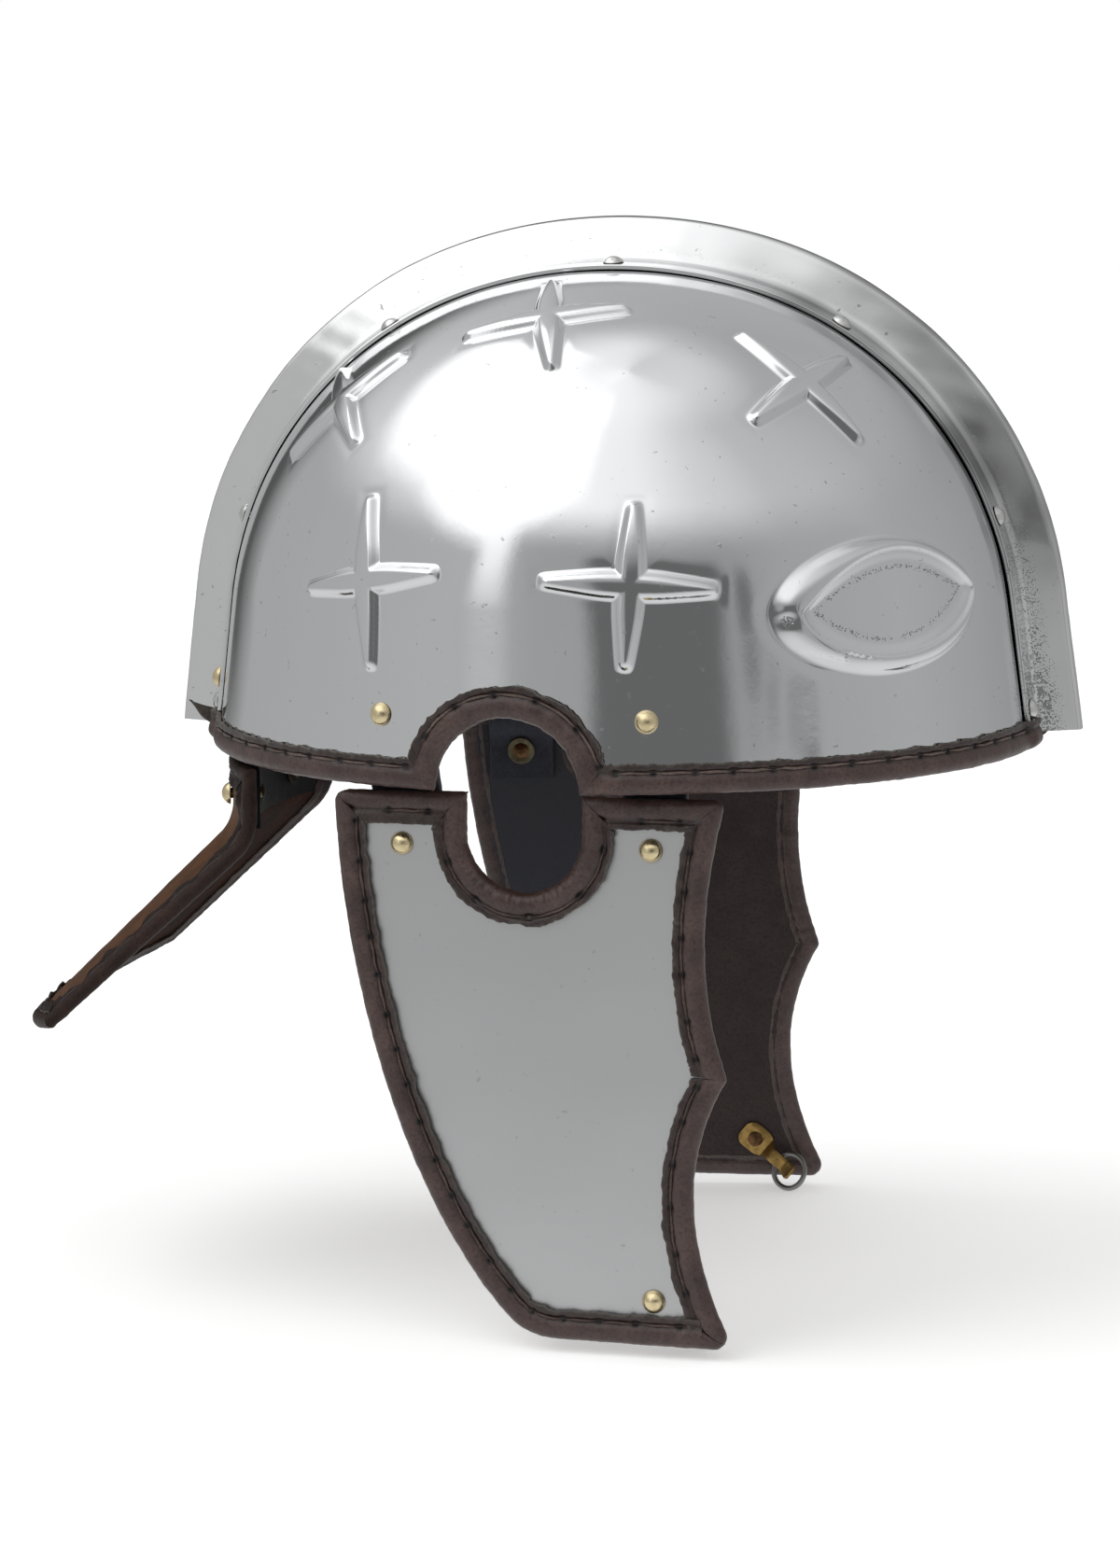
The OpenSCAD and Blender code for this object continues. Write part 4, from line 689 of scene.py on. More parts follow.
def fold_strip(shape, threads, curve, f, s0, s1, k0, k1, seed, step=0.8, raise_out=0.0,
               first=4.0, gathers=None, over=lambda s: 0):
    """A strip of leather folded over an edge, from s0 to s1 along its curve.

    k0 and k1 are the mitres' shifts and first is the way to the first stitch hole. By
    distance along, gathers is the strength of wrinkles and over a rise of the outer flap.
    """
    count = max(8, int((s1 - s0) / step))
    s = np.linspace(s0, s1, count + 1)[:, None]
    flap = f.out + f.ragged * (waves(s, 11, seed + 1, 2) * 0.8 + 0.45 * waves(s, 2.4, seed + 2, 2))
    flap = np.clip(flap, f.out * 0.55, f.out * 1.6)
    back = f.inn + 0.5 * f.ragged * waves(s, 9, seed + 3, 2)
    r = f.slot + f.thick
    lift = f.lift * (0.6 + 0.9 * waves(s, 17, seed + 4, 2))
    # Across the strip: raw strip, groove, roll, inner face and the slot
    one = np.ones_like(s)
    over_rise = over(s)
    groove_n = r - f.groove + raise_out + over_rise
    b_raw = flap + (f.stitch - flap) * np.linspace(0, 1, 9)
    lift = lift * smooth(b_raw, f.stitch + 0.4, flap)
    n_raw = groove_n + (f.groove - 0.12) * smooth(np.abs(b_raw - f.stitch), 0.15, 1.0) + lift
    tight = 0.15 + 0.85 * smooth(np.minimum(s - s0, s1 - s), 0, MITRE_FADE)
    full = r + f.puff * tight * (1 + 0.12 * waves(s, 12, seed + 11, 2)) + raise_out + over_rise
    x = 1 - np.sin(np.linspace(0, 1, 21)[1:-1] * math.pi / 2)
    crest = 0.5
    b_roll = f.edge + (f.stitch - f.edge) * x * one
    rounded = np.sqrt(np.maximum(0, 1 - (1 - np.minimum(x, crest) / crest) ** 2))
    fallen = np.maximum(0, (x - crest) / (1 - crest)) ** 2.6
    n_roll = full * rounded - (full - groove_n) * fallen
    a = np.linspace(0, math.pi / 2, 8)
    b_turn = f.edge + (1 - np.cos(a)) * (r * 1.15) * one
    n_turn = -(r + 0.12) * np.sin(a) * one
    b_in = b_turn[:, -1:] + (back - b_turn[:, -1:]) * np.linspace(0, 1, 9)[1:]
    inner_stitch = min(f.stitch, f.inn - 1.4)
    n_in = -(r + 0.12) + 0.3 * bell(b_in - inner_stitch, 0.6) \
        + 0.12 * smooth(b_in, back - 1.2, back)
    deep = (f.edge + f.thick) * one
    floor = f.slot + raise_out + over_rise
    b = np.concatenate([b_raw, b_roll, b_turn, b_in, back, deep, deep, flap], 1)
    n = np.concatenate([n_raw, n_roll, n_turn, n_in, -f.slot * one, -f.slot * one, floor * one,
                        floor + lift[:, :1]], 1)
    raws, rolls, sides = b_raw.shape[1], b_roll.shape[1], b.shape[1]
    skins = sides - 4
    sp = s + b * (k0 * smooth(s, s0 + MITRE_FADE, s0) + k1 * smooth(s, s1 - MITRE_FADE, s1))
    p, out, inward = curve(sp)
    # Grain and wrinkles move the skin along its own outward direction
    db, dn = np.gradient(b, axis=1), np.gradient(n, axis=1)
    length = np.maximum(TINY, np.hypot(db, dn))
    size = f.grain * (waves(p, 7.5, seed + 5, 3) + 0.6 * waves(p, 2.2, seed + 6, 2))
    if gathers is not None:
        g = gathers(s) * bell(b - f.edge - 2.4, 2.4) * (n > 0)
        size = size + 0.22 * g * np.sin(2 * math.pi * s / 1.7 + 2.6 * waves(s, 5, seed + 7, 1))
    size = size * (np.arange(sides) < skins)
    raw, dark = np.zeros(b.shape), np.zeros(b.shape)
    raw[:, [0, -1, skins - 1, skins]] = 1
    ragged_in = flap - 0.55 - 0.4 * waves(s, 3, seed + 8, 2)
    raw[:, :raws] = np.maximum(raw[:, :raws], smooth(b_raw, ragged_in, flap - 0.05))
    dark[:, :raws] = 0.55 + 0.2 * waves(b_raw + s, 5, seed + 10, 2)
    # The roll darkens where it falls into the stitch groove: painted shade in the crease.
    dark[:, raws:raws + rolls] = smooth(b_roll, f.stitch - 1.3, f.stitch) * 0.8
    holes = np.arange(s0 + first, s1 - 1.5, f.pitch)
    holes = holes + np.random.default_rng(seed + 9).uniform(-0.8, 0.8, len(holes))
    # Each stitch hole is a pressed dent, darkened with painted shade.
    for h in holes:
        pit = np.exp(-(((sp - h) / 0.95) ** 2 + ((b - f.stitch) / 0.9) ** 2))
        pit[:, raws + rolls:] = 0
        size = size - 0.5 * pit
        dark = np.maximum(dark, 1.5 * pit)
    t = np.linspace(0, 1, 9)
    hump = np.sin(t * math.pi)
    for h0, h1 in zip(holes[:-1], holes[1:]):
        # No thread runs past a mitre
        if h0 < s0 + f.stitch * k0 + 0.5 or h1 > s1 + f.stitch * k1 - 0.5:
            continue
        ss = h0 + 0.6 + (h1 - h0 - 1.2) * t
        q, qn, qb = curve(ss)
        rise = f.slot + f.thick + raise_out - f.groove + 0.4 * hump ** 0.5 + over(ss)
        line = q + qn * rise[:, None] + qb * (f.stitch + 0.08 * waves(ss, 6, seed, 1))[:, None]
        tube(threads, line, 0.38 * np.clip(hump ** 0.4, 0.25, 1), 7, flat=(qn, 0.75))
    p = p + out * (n - size * db / length)[..., None] + inward * (b + size * dn / length)[..., None]
    mid = (s0 + s1) / 2
    flip = np.linalg.det(np.stack([curve.along(mid), *curve(np.array(mid))[1:]])) > 0
    shape.add(p, loft_faces(count + 1, sides, flip), raw=raw, dark=dark)


def tube(shape, line, radius, sides, flat=None):
    """A tube along points, closed to a ring unless flat says how it is pressed: way, share."""
    ahead = np.roll(line, -1, 0) - np.roll(line, 1, 0)
    if flat:
        ahead[0], ahead[-1] = line[1] - line[0], line[-1] - line[-2]
        t, press = unit(ahead), flat[1]
        n = unit(flat[0] - t * (flat[0] * t).sum(-1, keepdims=True))
        faces = loft_faces(len(line), sides, True)
    else:
        t, press = unit(ahead), 1
        n = unit(np.cross(t, [0.31, 0.2, 0.93]))
        faces = grid_faces(len(line), sides, True, True)[:, ::-1]
    a = (np.arange(sides) * 2 * math.pi / sides)[None, :, None]
    round_it = np.cos(a) * n[:, None] * press + np.sin(a) * np.cross(t, n)[:, None]
    shape.add(line[:, None] + radius[:, None, None] * round_it, faces)


# Rim binding

RIM = fold(thick=1.3, slot=0.8, out=3.6, inn=3.6, edge=-3.9, stitch=1.5, groove=0.55)
ARCH = fold(thick=1.35, slot=0.8, out=4.3, inn=3.8, edge=-3.8, stitch=2.3, puff=0.6, groove=0.6,
            ragged=0.45, lift=0.4, grain=0.18)
KEEL_SIDE = RIDGE_FOOT_Y + 1.4


def skull_edge(phi, z, towards):
    return edge_curve(skull_deep(phi, z, SKULL_T / 2), skull_out(phi, z), towards)


def over_keel(d):
    """Rise of the outer flap over the ridge's flange, by distance from the keel."""
    return 1.6 * smooth(d, 8.0, 6.0)


def rim_binding():
    shape, threads = Shape(), Shape()
    start, up = math.asin(KEEL_SIDE / float(half(SIDE, 0.0))), np.array([0, 0, 1.0])
    front, rear = (skull_edge(np.linspace(a, b, 240), np.zeros(240), up)
                   for a, b in ((start, PHI_FRONT), (PHI_BACK, math.pi - start)))
    phi, z = arch_point(np.linspace(ARCH_START, math.pi - ARCH_START, 120))
    arch = skull_edge(phi, z, skull_deep(phi, z, SKULL_T / 2) - [EAR_X, -90, -EAR_DROP])
    kf, ka0 = mitre(front, arch)
    ka1, kr = mitre(arch, rear)
    fold_strip(shape, threads, front, RIM, 0.4, front.length, 0, kf, 100, over=over_keel, first=7.5)
    fold_strip(shape, threads, arch, ARCH, -0.3, arch.length + 0.3, ka0, ka1, 120,
               raise_out=0.3, first=3)
    fold_strip(shape, threads, rear, RIM, 0, rear.length - 0.4, kr, 0, 140,
               over=lambda s: over_keel(rear.length - s), first=5)
    # At the back the raw edge stands out past the keel in a torn point
    p, n, b = rear(np.array([rear.length - 9.0, rear.length - 0.5]))
    lift = 3.4
    back = unit(np.array([-1.0, -0.35, 0.0]))
    stations = [(p[0] + n[0] * 1.9 + b[0] * 1.6, n[0], b[0]),
                (p[1] + n[1] * (lift + 0.5) + b[1] * 1.4, n[1], b[1]),
                (p[1] + n[1] * (lift + 0.4) + back * 3.2 + up * 3.0, n[1], b[1]),
                (p[1] + n[1] * lift + back * 6.5 + up * 6.0, n[1], unit(b[1] + back))]
    torn = strip(stations, [3.2, 4.6, 3.0, 0.5], 0.9, 171, step=0.6, cols=9)
    shape.add(np.concatenate(torn.points), torn.faces, raw=np.ones(torn.count),
              dark=np.full(torn.count, 0.6))
    return shape, threads


# Cheek guards

CHEEK_Y = float(half(SIDE, 0.0)) - 13.5
CHEEK_DROP, CHEEK_YAW, CHEEK_LEAN = 6.4, math.radians(4.5), math.radians(2.5)
FORE = np.array([math.cos(CHEEK_YAW), -math.sin(CHEEK_YAW), 0])
DOWN = np.array([-math.sin(CHEEK_YAW) * math.sin(CHEEK_LEAN),
                 -math.cos(CHEEK_YAW) * math.sin(CHEEK_LEAN), -math.cos(CHEEK_LEAN)])
OUT = np.cross(DOWN, FORE)
CHEEK_H, NOTCH_U, NOTCH_R, NOTCH_DEEP = 138.5, -11.9, 15, 24.6
CHEEK_REAR, CHEEK_FRONT = -61.5, 39.7
PLATE_T, LINING_T, SKIN_GAP = 1.2, 1.2, 0.1
LINING_IN = PLATE_T / 2 + SKIN_GAP + LINING_T
HOOK_AT, HOOK_TURN = (21.2, CHEEK_H - 11.6), math.radians(40)
CHEEK_RIVETS = ((-43.8, 13.0), (20.6, 13.0), HOOK_AT)


def cheek_point(u, v, n):
    u, v, n = (np.asarray(x, float)[..., None] for x in (u, v, n))
    return np.array([0, -CHEEK_Y, -CHEEK_DROP]) + FORE * u + DOWN * v + OUT * n


def bow(a, c, b, t):
    t = np.asarray(t)[:, None]
    return (1 - t) ** 2 * np.array(a) + 2 * t * (1 - t) * np.array(c) + t ** 2 * np.array(b)


def straight(a, b, steps):
    t = np.linspace(0, 1, steps)[:, None]
    return np.array(a, float) * (1 - t) + np.array(b, float) * t


def rear_line(t):
    a, b, c = (CHEEK_REAR, 0), (-60, CHEEK_H * 0.325), (-45.5, CHEEK_H * 0.736)
    return bow(a, b, c, t) * (1 - t[:, None]) + bow(b, c, HOCK, t) * t[:, None]


CUSP, TOE, HEEL = (40, CHEEK_H * 0.505), (41.9, CHEEK_H), (-4, CHEEK_H - 0.5)
HEEL_BOW, HOCK = (-12, CHEEK_H - 1), (-16.5, CHEEK_H - 5.6)


def cheek_lines():
    """The cheek guard's edges, each from corner to corner, clockwise from the rear top."""
    deep = NOTCH_DEEP - NOTCH_R
    a = np.radians(np.linspace(180, 360, 60))
    arc = np.stack([NOTCH_U + NOTCH_R * np.cos(a), deep - NOTCH_R * np.sin(a)], -1)
    left, right = NOTCH_U - NOTCH_R, NOTCH_U + NOTCH_R
    fine = np.linspace(0, 1, 70)
    round_heel = np.concatenate([straight(TOE, HEEL, 30)[:-1],
                                 bow(HEEL, HEEL_BOW, HOCK, fine[::6])[:-1], rear_line(fine)[::-1]])
    return {
        "tab": straight((CHEEK_REAR, 0), (left, 0), 20),
        "notch": np.concatenate([straight((left, 0), arc[0], 8)[:-1], arc,
                                 straight(arc[-1], (right, 0), 8)[1:]]),
        "top": straight((right, 0), (CHEEK_FRONT, 0), 20),
        "fore": bow((CHEEK_FRONT, 0), (28.5, CHEEK_H * 0.29), CUSP, fine),
        "chin": bow(CUSP, (21.8, CHEEK_H * 0.722), TOE, fine),
        "heel": round_heel,
    }


def cheek_curve(line):
    t = unit(np.gradient(line, axis=0))
    for _ in range(3):
        t = unit(relax(t, 1))
    # The guard lies to the right of its edge, seen from outside with V down
    p = cheek_point(line[:, 0], line[:, 1], 0)
    return Curve(p, np.broadcast_to(OUT, p.shape), FORE * -t[:, 1:] + DOWN * t[:, :1])


CHEEK_FOLD = dict(thick=1.3, slot=PLATE_T / 2 + SKIN_GAP, out=7.8, inn=6.0, edge=0, stitch=5.6,
                  puff=0.45, groove=0.6)
# What differs along each edge, with the rise of the whole outer flap
CHEEK_EDGES = {
    "tab": (0.0, dict(out=8.0, ragged=0.15, stitch=4.6, edge=-0.4, puff=0.15)),
    "notch": (0.2, dict(out=8.2, puff=0.6, stitch=6.0, grain=0.13, ragged=0.5, lift=0.35)),
    "top": (0.0, dict(puff=0.15)), "fore": (0.1, {}), "chin": (0.0, {}), "heel": (0.25, {})}
CHEEK_ROUND = {("heel", "tab"): 3.0, ("top", "fore"): 2.4, ("fore", "chin"): 2.5,
               ("chin", "heel"): 3.2}
UNDER_LEATHER = 2.5


def round_corner(p, one, two, radius):
    """Points of a guard's piece, drawn in so that its corner has a radius."""
    at, back, ahead = two[0], unit(one[-3] - one[-1]), unit(two[2] - two[0])
    half_angle = math.acos(float(back @ ahead)) / 2
    inner = unit(back + ahead)
    centre = at + inner * radius / math.sin(half_angle)
    d = p - cheek_point(*centre, 0)
    u, v = d @ FORE, d @ DOWN
    forward, across = -(u * inner[0] + v * inner[1]), u * inner[1] - v * inner[0]
    wedge = math.pi / 2 - half_angle
    off = wedge - np.abs(np.arctan2(across, forward))
    far = np.maximum(np.hypot(forward, across), 1e-6)
    share = np.where(off > 0, np.minimum(np.cos(off), radius / far) - 1, 0)[..., None]
    return p + share * (u[..., None] * FORE + v[..., None] * DOWN)


def round_corners(shape, more=0.0):
    lines = cheek_lines()
    for (a, b), radius in CHEEK_ROUND.items():
        shape.points = [round_corner(p, lines[a], lines[b], radius + more) for p in shape.points]
    return shape


def cheek_binding():
    shape, threads = Shape(), Shape()
    curves = {k: cheek_curve(v) for k, v in cheek_lines().items()}
    for k, (name, c, k0, k1) in enumerate(closed_loop(curves)):
        raised, changes = CHEEK_EDGES[name]
        more = {}
        if name == "notch":
            more = dict(step=0.55, gathers=lambda s: smooth(np.abs(s - c.length / 2), 24, 12))
        fold_strip(shape, threads, c, fold(**{**CHEEK_FOLD, **changes}), 0, c.length, k0, k1,
                   200 + 20 * k, raise_out=raised, first=4.5, **more)
    return round_corners(shape), threads


def fill_outline(line, step):
    """Triangles inside an outline, with points on a grid."""
    lo, hi = line.min(0), line.max(0)
    x, y = np.meshgrid(*(np.arange(a + step / 2, b, step) for a, b in zip(lo, hi)))
    inner = np.stack([x.ravel(), y.ravel()], -1)
    d = np.full(len(inner), 1e9)
    inside = np.zeros(len(inner), bool)
    for a, b in zip(line, np.roll(line, -1, 0)):
        ab = b - a
        t = np.clip(((inner - a) @ ab) / max(1e-9, ab @ ab), 0, 1)
        d = np.minimum(d, np.linalg.norm(inner - a - t[:, None] * ab, axis=1))
        cross = (a[1] > inner[:, 1]) != (b[1] > inner[:, 1])
        at = a[0] + (inner[:, 1] - a[1]) * ab[0] / (ab[1] if abs(ab[1]) > 1e-12 else 1e-12)
        inside ^= cross & (inner[:, 0] < at)
    inner = inner[inside & (d > step * 0.45)]
    pts = [Vector(p) for p in np.concatenate([line, inner])]
    n = len(line)
    out = delaunay_2d_cdt(pts, [(k, (k + 1) % n) for k in range(n)], [], 1, 1e-5)
    verts = np.array([tuple(v) for v in out[0]])
    return verts, np.array(out[2])


def inset_line(line, w):
    """Closed outline moved inward by a width."""
    keep = np.linalg.norm(np.diff(line, axis=0), axis=1) > 1e-6
    line = line[np.concatenate([[True], keep])]
    if np.linalg.norm(line[0] - line[-1]) < 1e-6:
        line = line[:-1]
    a = unit(line - np.roll(line, 1, 0))[:, ::-1] * [-1, 1]
    b = np.roll(a, -1, 0)
    return line + (a + b) * w / (1 + (a * b).sum(-1, keepdims=True))


def cheek_sheet(inset, low, high, bump=0.0):
    """A sheet of the guard's outline between two levels, its corners well under the leather."""
    whole = np.concatenate([v[:-1][::2] if len(v) > 40 else v[:-1] for v in cheek_lines().values()])
    verts, tris = fill_outline(inset_line(whole, inset), 3.0)
    w = bump * waves(np.c_[verts, 0 * verts[:, :1]], 60, 31, 2)
    top, bottom = (cheek_point(verts[:, 0], verts[:, 1], level + w) for level in (high, low))
    a, b, c = (top[k] for k in tris[0])
    if np.cross(b - a, c - a) @ OUT < 0:
        tris = tris[:, ::-1]
    seen = {(int(x), int(y)) for k in range(3) for x, y in tris[:, [k, (k + 1) % 3]]}
    a, b = np.array([(x, y) for x, y in seen if (y, x) not in seen]).T
    n = len(verts)
    shape = Shape().add(np.concatenate([top, bottom]),
                        [tris, tris[:, ::-1] + n, np.stack([b, a, a + n, b + n], -1)])
    return round_corners(shape, UNDER_LEATHER)


# Straps

def strip(stations, widths, thick, seed, step=1.2, cols=13):
    """A strap through stations of [outer point, outward, across], rounded along its edges."""
    p, n, c = (np.array([s[k] for s in stations], float) for k in range(3))
    s = np.concatenate([[0], np.cumsum(np.linalg.norm(np.diff(p, axis=0), axis=1))])
    t = np.linspace(0, s[-1], max(6, int(s[-1] / step)))

    def spread(v):
        """Values at the stations, along the strap with soft turns."""
        v = np.asarray(v, float).reshape(len(s), -1)
        return relax(np.stack([np.interp(t, s, v[:, k]) for k in range(v.shape[1])], -1), 3)

    p, n, c, w = spread(p), unit(spread(n)), unit(spread(c)), spread(widths)[:, 0]
    r = min(0.5, thick * 0.35)
    x = np.linspace(-1, 1, cols)
    # Across, depth and which face: 1 outer, -1 inner, 0 an edge
    line = np.array([(q, 0, 1) for q in x] + [(1, -r, 0), (1, r - thick, 0)]
                    + [(q, -thick, -1) for q in x[::-1]] + [(-1, r - thick, 0), (-1, -r, 0)])
    face, aside = line[:, 2], np.sign(line[:, 0])
    across = line[:, 0] * (w[:, None] / 2 - r * np.abs(face))
    points = p[:, None] + c[:, None] * across[..., None] + n[:, None] * line[:, 1][:, None]
    bump = 0.08 * waves(points, 9, seed, 3) * face
    wander = 0.12 * waves(t, 14, seed + 1, 2)[:, None] * aside
    points = points + n[:, None] * bump[..., None] + c[:, None] * wander[..., None]
    flip = np.cross(points[1, 0] - points[0, 0], points[0, 1] - points[0, 0]) @ n[0] > 0
    return Shape().add(points, loft_faces(*points.shape[:2], flip),
                       raw=(face == 0) * np.ones((len(t), 1)))


STRAP_T, WASHER_D, WASHER_T, STRAP_OVER = 2.4, 7.6, 0.8, 8
SKULL_RIVET_Z = 14
HEM_IN = 6.0
STRAPS = {"rear": (-47.3, -43.8, 18), "front": (21.1, 20.6, 16.5)}
FLAP_IN = LINING_IN + SKIN_GAP + 1.3
STRAP_HIGH, STRAP_LOW = FLAP_IN + GAP, LINING_IN + GAP


def strap_depth(w):
    return SKULL_T + GAP + w ** 2 / (8 * SIDE.shoulder)


def cheek_strap(x, u, w, seed):
    def on_skull(z, depth):
        phi = phi_of(x, z)
        n = skull_out(phi, np.array(float(z)))
        return skull_deep(phi, np.array(float(z)), depth), n, unit(np.cross([0, 0, 1], n))

    def on_cheek(v, n):
        return cheek_point(u, v, -n), OUT, FORE

    end = strap_depth(w)
    lie = SKULL_RIVET_Z - WASHER_D / 2 - 3 * GAP
    last, first = on_skull(lie - 3, end + 1.3 + GAP), on_cheek(-0.4, STRAP_HIGH)
    stations = [on_skull(SKULL_RIVET_Z + STRAP_OVER, end), on_skull(lie, end), last]
    for k in (1, 2, 3):
        t = k / 4
        p, n, c = (a * (1 - t) + b * t for a, b in zip(last, first))
        stations.append((p - unit(n) * 0.27 * math.sin(math.pi * t), unit(n), unit(c)))
    stations += [first, on_cheek(HEM_IN + GAP, STRAP_HIGH), on_cheek(HEM_IN + GAP + 2.4, STRAP_LOW),
                 on_cheek(13 + STRAP_OVER, STRAP_LOW)]
    widths = [w + 6.5] * 3 + [w + 5, w + 3, w + 1] + [w] * 4
    return strip(stations, widths, STRAP_T, seed)


# Hook and ring

HOOK_T, HOOK_W, HOOK_NECK = 0.9, 8, 3.8
RING_WIRE, RING_GAP, RING_R, RING_LEAN = 1.5, 0.45, 4.95, math.radians(58)
HOOK_LIE = LINING_IN + GAP
HOOK_RAISE = FLAP_IN + RING_WIRE + 2 * RING_GAP
HOOK_X = (-4.6, 4.4, 6.4, 11.0, 13.6)
RING_X, RING_Z = 8.6, FLAP_IN + RING_GAP + RING_WIRE / 2


def hook_point(x, y, z):
    """From the hook's frame: x along it, y across, z outward."""
    u = HOOK_AT[0] + x * math.cos(HOOK_TURN) + y * math.sin(HOOK_TURN)
    up = -HOOK_AT[1] - x * math.sin(HOOK_TURN) + y * math.cos(HOOK_TURN)
    return cheek_point(u, -up, z)


def tie_hook():
    back, x1, x2, x3, x4 = HOOK_X
    # Along, height and width of the hook's underside
    line = [(back, HOOK_LIE, 4.2), (back + 0.6, HOOK_LIE, 6.2), (back + 1.8, HOOK_LIE, HOOK_W),
            (x1 - 2, HOOK_LIE, HOOK_W), (x1, HOOK_LIE, 5.9), (x1 + 0.5, HOOK_LIE + 0.7, 5.4),
            (x2 - 0.3, HOOK_RAISE - 0.5, HOOK_NECK), (x2 + 0.4, HOOK_RAISE, HOOK_NECK),
            (x3 - 0.4, HOOK_RAISE, HOOK_NECK), (x3 + 0.5, HOOK_RAISE + 0.6, 4),
            (x4 - 0.3, HOOK_RAISE + 2.9, 4.6), (x4, HOOK_RAISE + 3.5, 3.4)]
    t = np.linspace(0, len(line) - 1, 60)
    x, z, w = (relax(np.interp(t, np.arange(len(line)), v), 2) for v in np.array(line, float).T)
    dx, dz = np.gradient(x), np.gradient(z)
    size = np.hypot(dx, dz)
    r, low, high = 0.22, 0, HOOK_T
    # Side, depth and how much the corner is cut back
    cross = [(-1, r, 0), (-1, low, r), (-0.5, low, 0), (0, low, 0), (0.5, low, 0), (1, low, r),
             (1, r, 0), (1, high - r, 0), (1, high, r), (0.5, high, 0), (0, high, 0),
             (-0.5, high, 0), (-1, high, r), (-1, high - r, 0)]
    side, depth, cut = np.array(cross, float).T[:, None]
    along, up = x[:, None] - (dz / size)[:, None] * depth, z[:, None] + (dx / size)[:, None] * depth
    rows = hook_point(along, side * w[:, None] / 2 - np.sign(side) * cut, -up)
    rows = rows + OUT * (0.06 * waves(rows, 6, 61, 2))[..., None]
    return Shape().add(rows, loft_faces(*rows.shape[:2]))


def tie_ring():
    a = np.arange(64)[:, None] * math.pi / 32
    b = np.arange(14)[None] * math.pi / 7
    r = RING_WIRE / 2 * (1 + 0.05 * np.sin(3 * a + 1) * np.cos(b))
    x, y = r * np.sin(b), (RING_R + r * np.cos(b)) * np.cos(a)
    z = (RING_R + r * np.cos(b)) * np.sin(a) + RING_R
    t = math.pi - RING_LEAN
    x, z = x * math.cos(t) + z * math.sin(t), -x * math.sin(t) + z * math.cos(t)
    return Shape().add(hook_point(RING_X + x, y, z - RING_Z), grid_faces(64, 14, True, True))


# Neck guard

NECK_X = float(half(LONG, 0.0)) - 4
NECK_DROP, NECK_UP, NECK_FLARE, NECK_SLOPE, NECK_BEND = 6.6, 19, 78, math.radians(44), 7
NECK_W, NECK_R, HEM_W, HEM_R, HEM_RISE = 45, 84, 61, 121, 7
NECK_LONG = NECK_UP + NECK_FLARE
NECK_SPREAD, HEM_SPREAD = math.asin(NECK_W / NECK_R), math.asin(HEM_W / HEM_R)
NECK_FACE = PLATE_T / 2 + SKIN_GAP + 0.8
NECK_THIN = PLATE_T / 2 + 0.4
NECK_BIND_T = 1.0
NECK_FOLD = fold(thick=0.65, slot=NECK_THIN + 0.02, out=6.8, inn=6.8, edge=0, stitch=3.6,
                 puff=0.25, ragged=0.8, lift=0.6)
NECK_RIVET_Y, NECK_RIVET_D, NECK_GRIP = 21, 10.4, 5.55


def neck_mid(s, d):
    s, d = np.broadcast_arrays(np.asarray(s, float), np.asarray(d, float))

    def top(z):
        a = s * NECK_SPREAD
        return np.stack([-NECK_X + NECK_R * (1 - np.cos(a)), NECK_R * np.sin(a), z + 0 * a], -1)

    a, b = top(-NECK_DROP), top(-NECK_DROP - NECK_UP)
    h = s * HEM_SPREAD
    c = np.stack([-(NECK_X + NECK_FLARE * math.cos(NECK_SLOPE)) + HEM_R * (1 - np.cos(h)),
                  HEM_R * np.sin(h),
                  -NECK_DROP - NECK_UP - NECK_FLARE * math.sin(NECK_SLOPE) + HEM_RISE * s * s], -1)
    up = NECK_UP - NECK_BEND
    t = (d / NECK_UP)[..., None]
    low = ((d - NECK_UP) / NECK_FLARE)[..., None]
    m = np.clip((d - up) / (2 * NECK_BEND), 0, 1)[..., None]
    p, q = a + (b - a) * (up / NECK_UP), b + (c - b) * (NECK_BEND / NECK_FLARE)
    bend = (1 - m) ** 2 * p + 2 * m * (1 - m) * b + m ** 2 * q
    d = d[..., None]
    lower = np.where(d >= NECK_UP + NECK_BEND, b + (c - b) * low, bend)
    return np.where(d <= up, a + (b - a) * t, lower)


def neck_out(s, d, e=0.01):
    down = neck_mid(s, np.asarray(d) + e) - neck_mid(s, np.asarray(d) - e)
    across = neck_mid(np.asarray(s) + e, d) - neck_mid(np.asarray(s) - e, d)
    return unit(np.cross(across, down))


def neck_sheet(low, high, edge, size, seed):
    s = np.linspace(-1, 1, 84)[None] * (1 - edge / NECK_W)
    d = np.linspace(edge, NECK_LONG - edge, 74)[:, None]
    s, d = np.broadcast_arrays(s, d)
    p, n = neck_mid(s, d), neck_out(s, d)
    bump = size * waves(p, 15, seed, 3)
    return slab(Shape(), *(p + n * (level + bump)[..., None] for level in (high, low)), n[0, 0])


def neck_binding():
    shape, threads = Shape(), Shape()
    s, d = np.linspace(-1, 1, 90), np.linspace(0, NECK_LONG, 110)
    curves = {}
    for name, a, b, da, db in (
            ("top", s, 0 * s, 0, 1), ("left", 0 * d + 1, d, -1, 0),
            ("hem", s[::-1], 0 * s + NECK_LONG, 0, -1), ("right", 0 * d - 1, d[::-1], 1, 0)):
        p = neck_mid(a, b)
        curves[name] = edge_curve(p, neck_out(a, b), neck_mid(a + 0.01 * da, b + 0.01 * db) - p)
    for k, (_, c, k0, k1) in enumerate(closed_loop(curves)):
        fold_strip(shape, threads, c, NECK_FOLD, 0, c.length, k0, k1, 400 + 20 * k,
                   raise_out=0.15 if k % 2 else 0)
    return shape, threads


def neck_seat(y, d):
    s = math.asin(y / NECK_R) / NECK_SPREAD
    return neck_mid(s, d), neck_out(s, d)


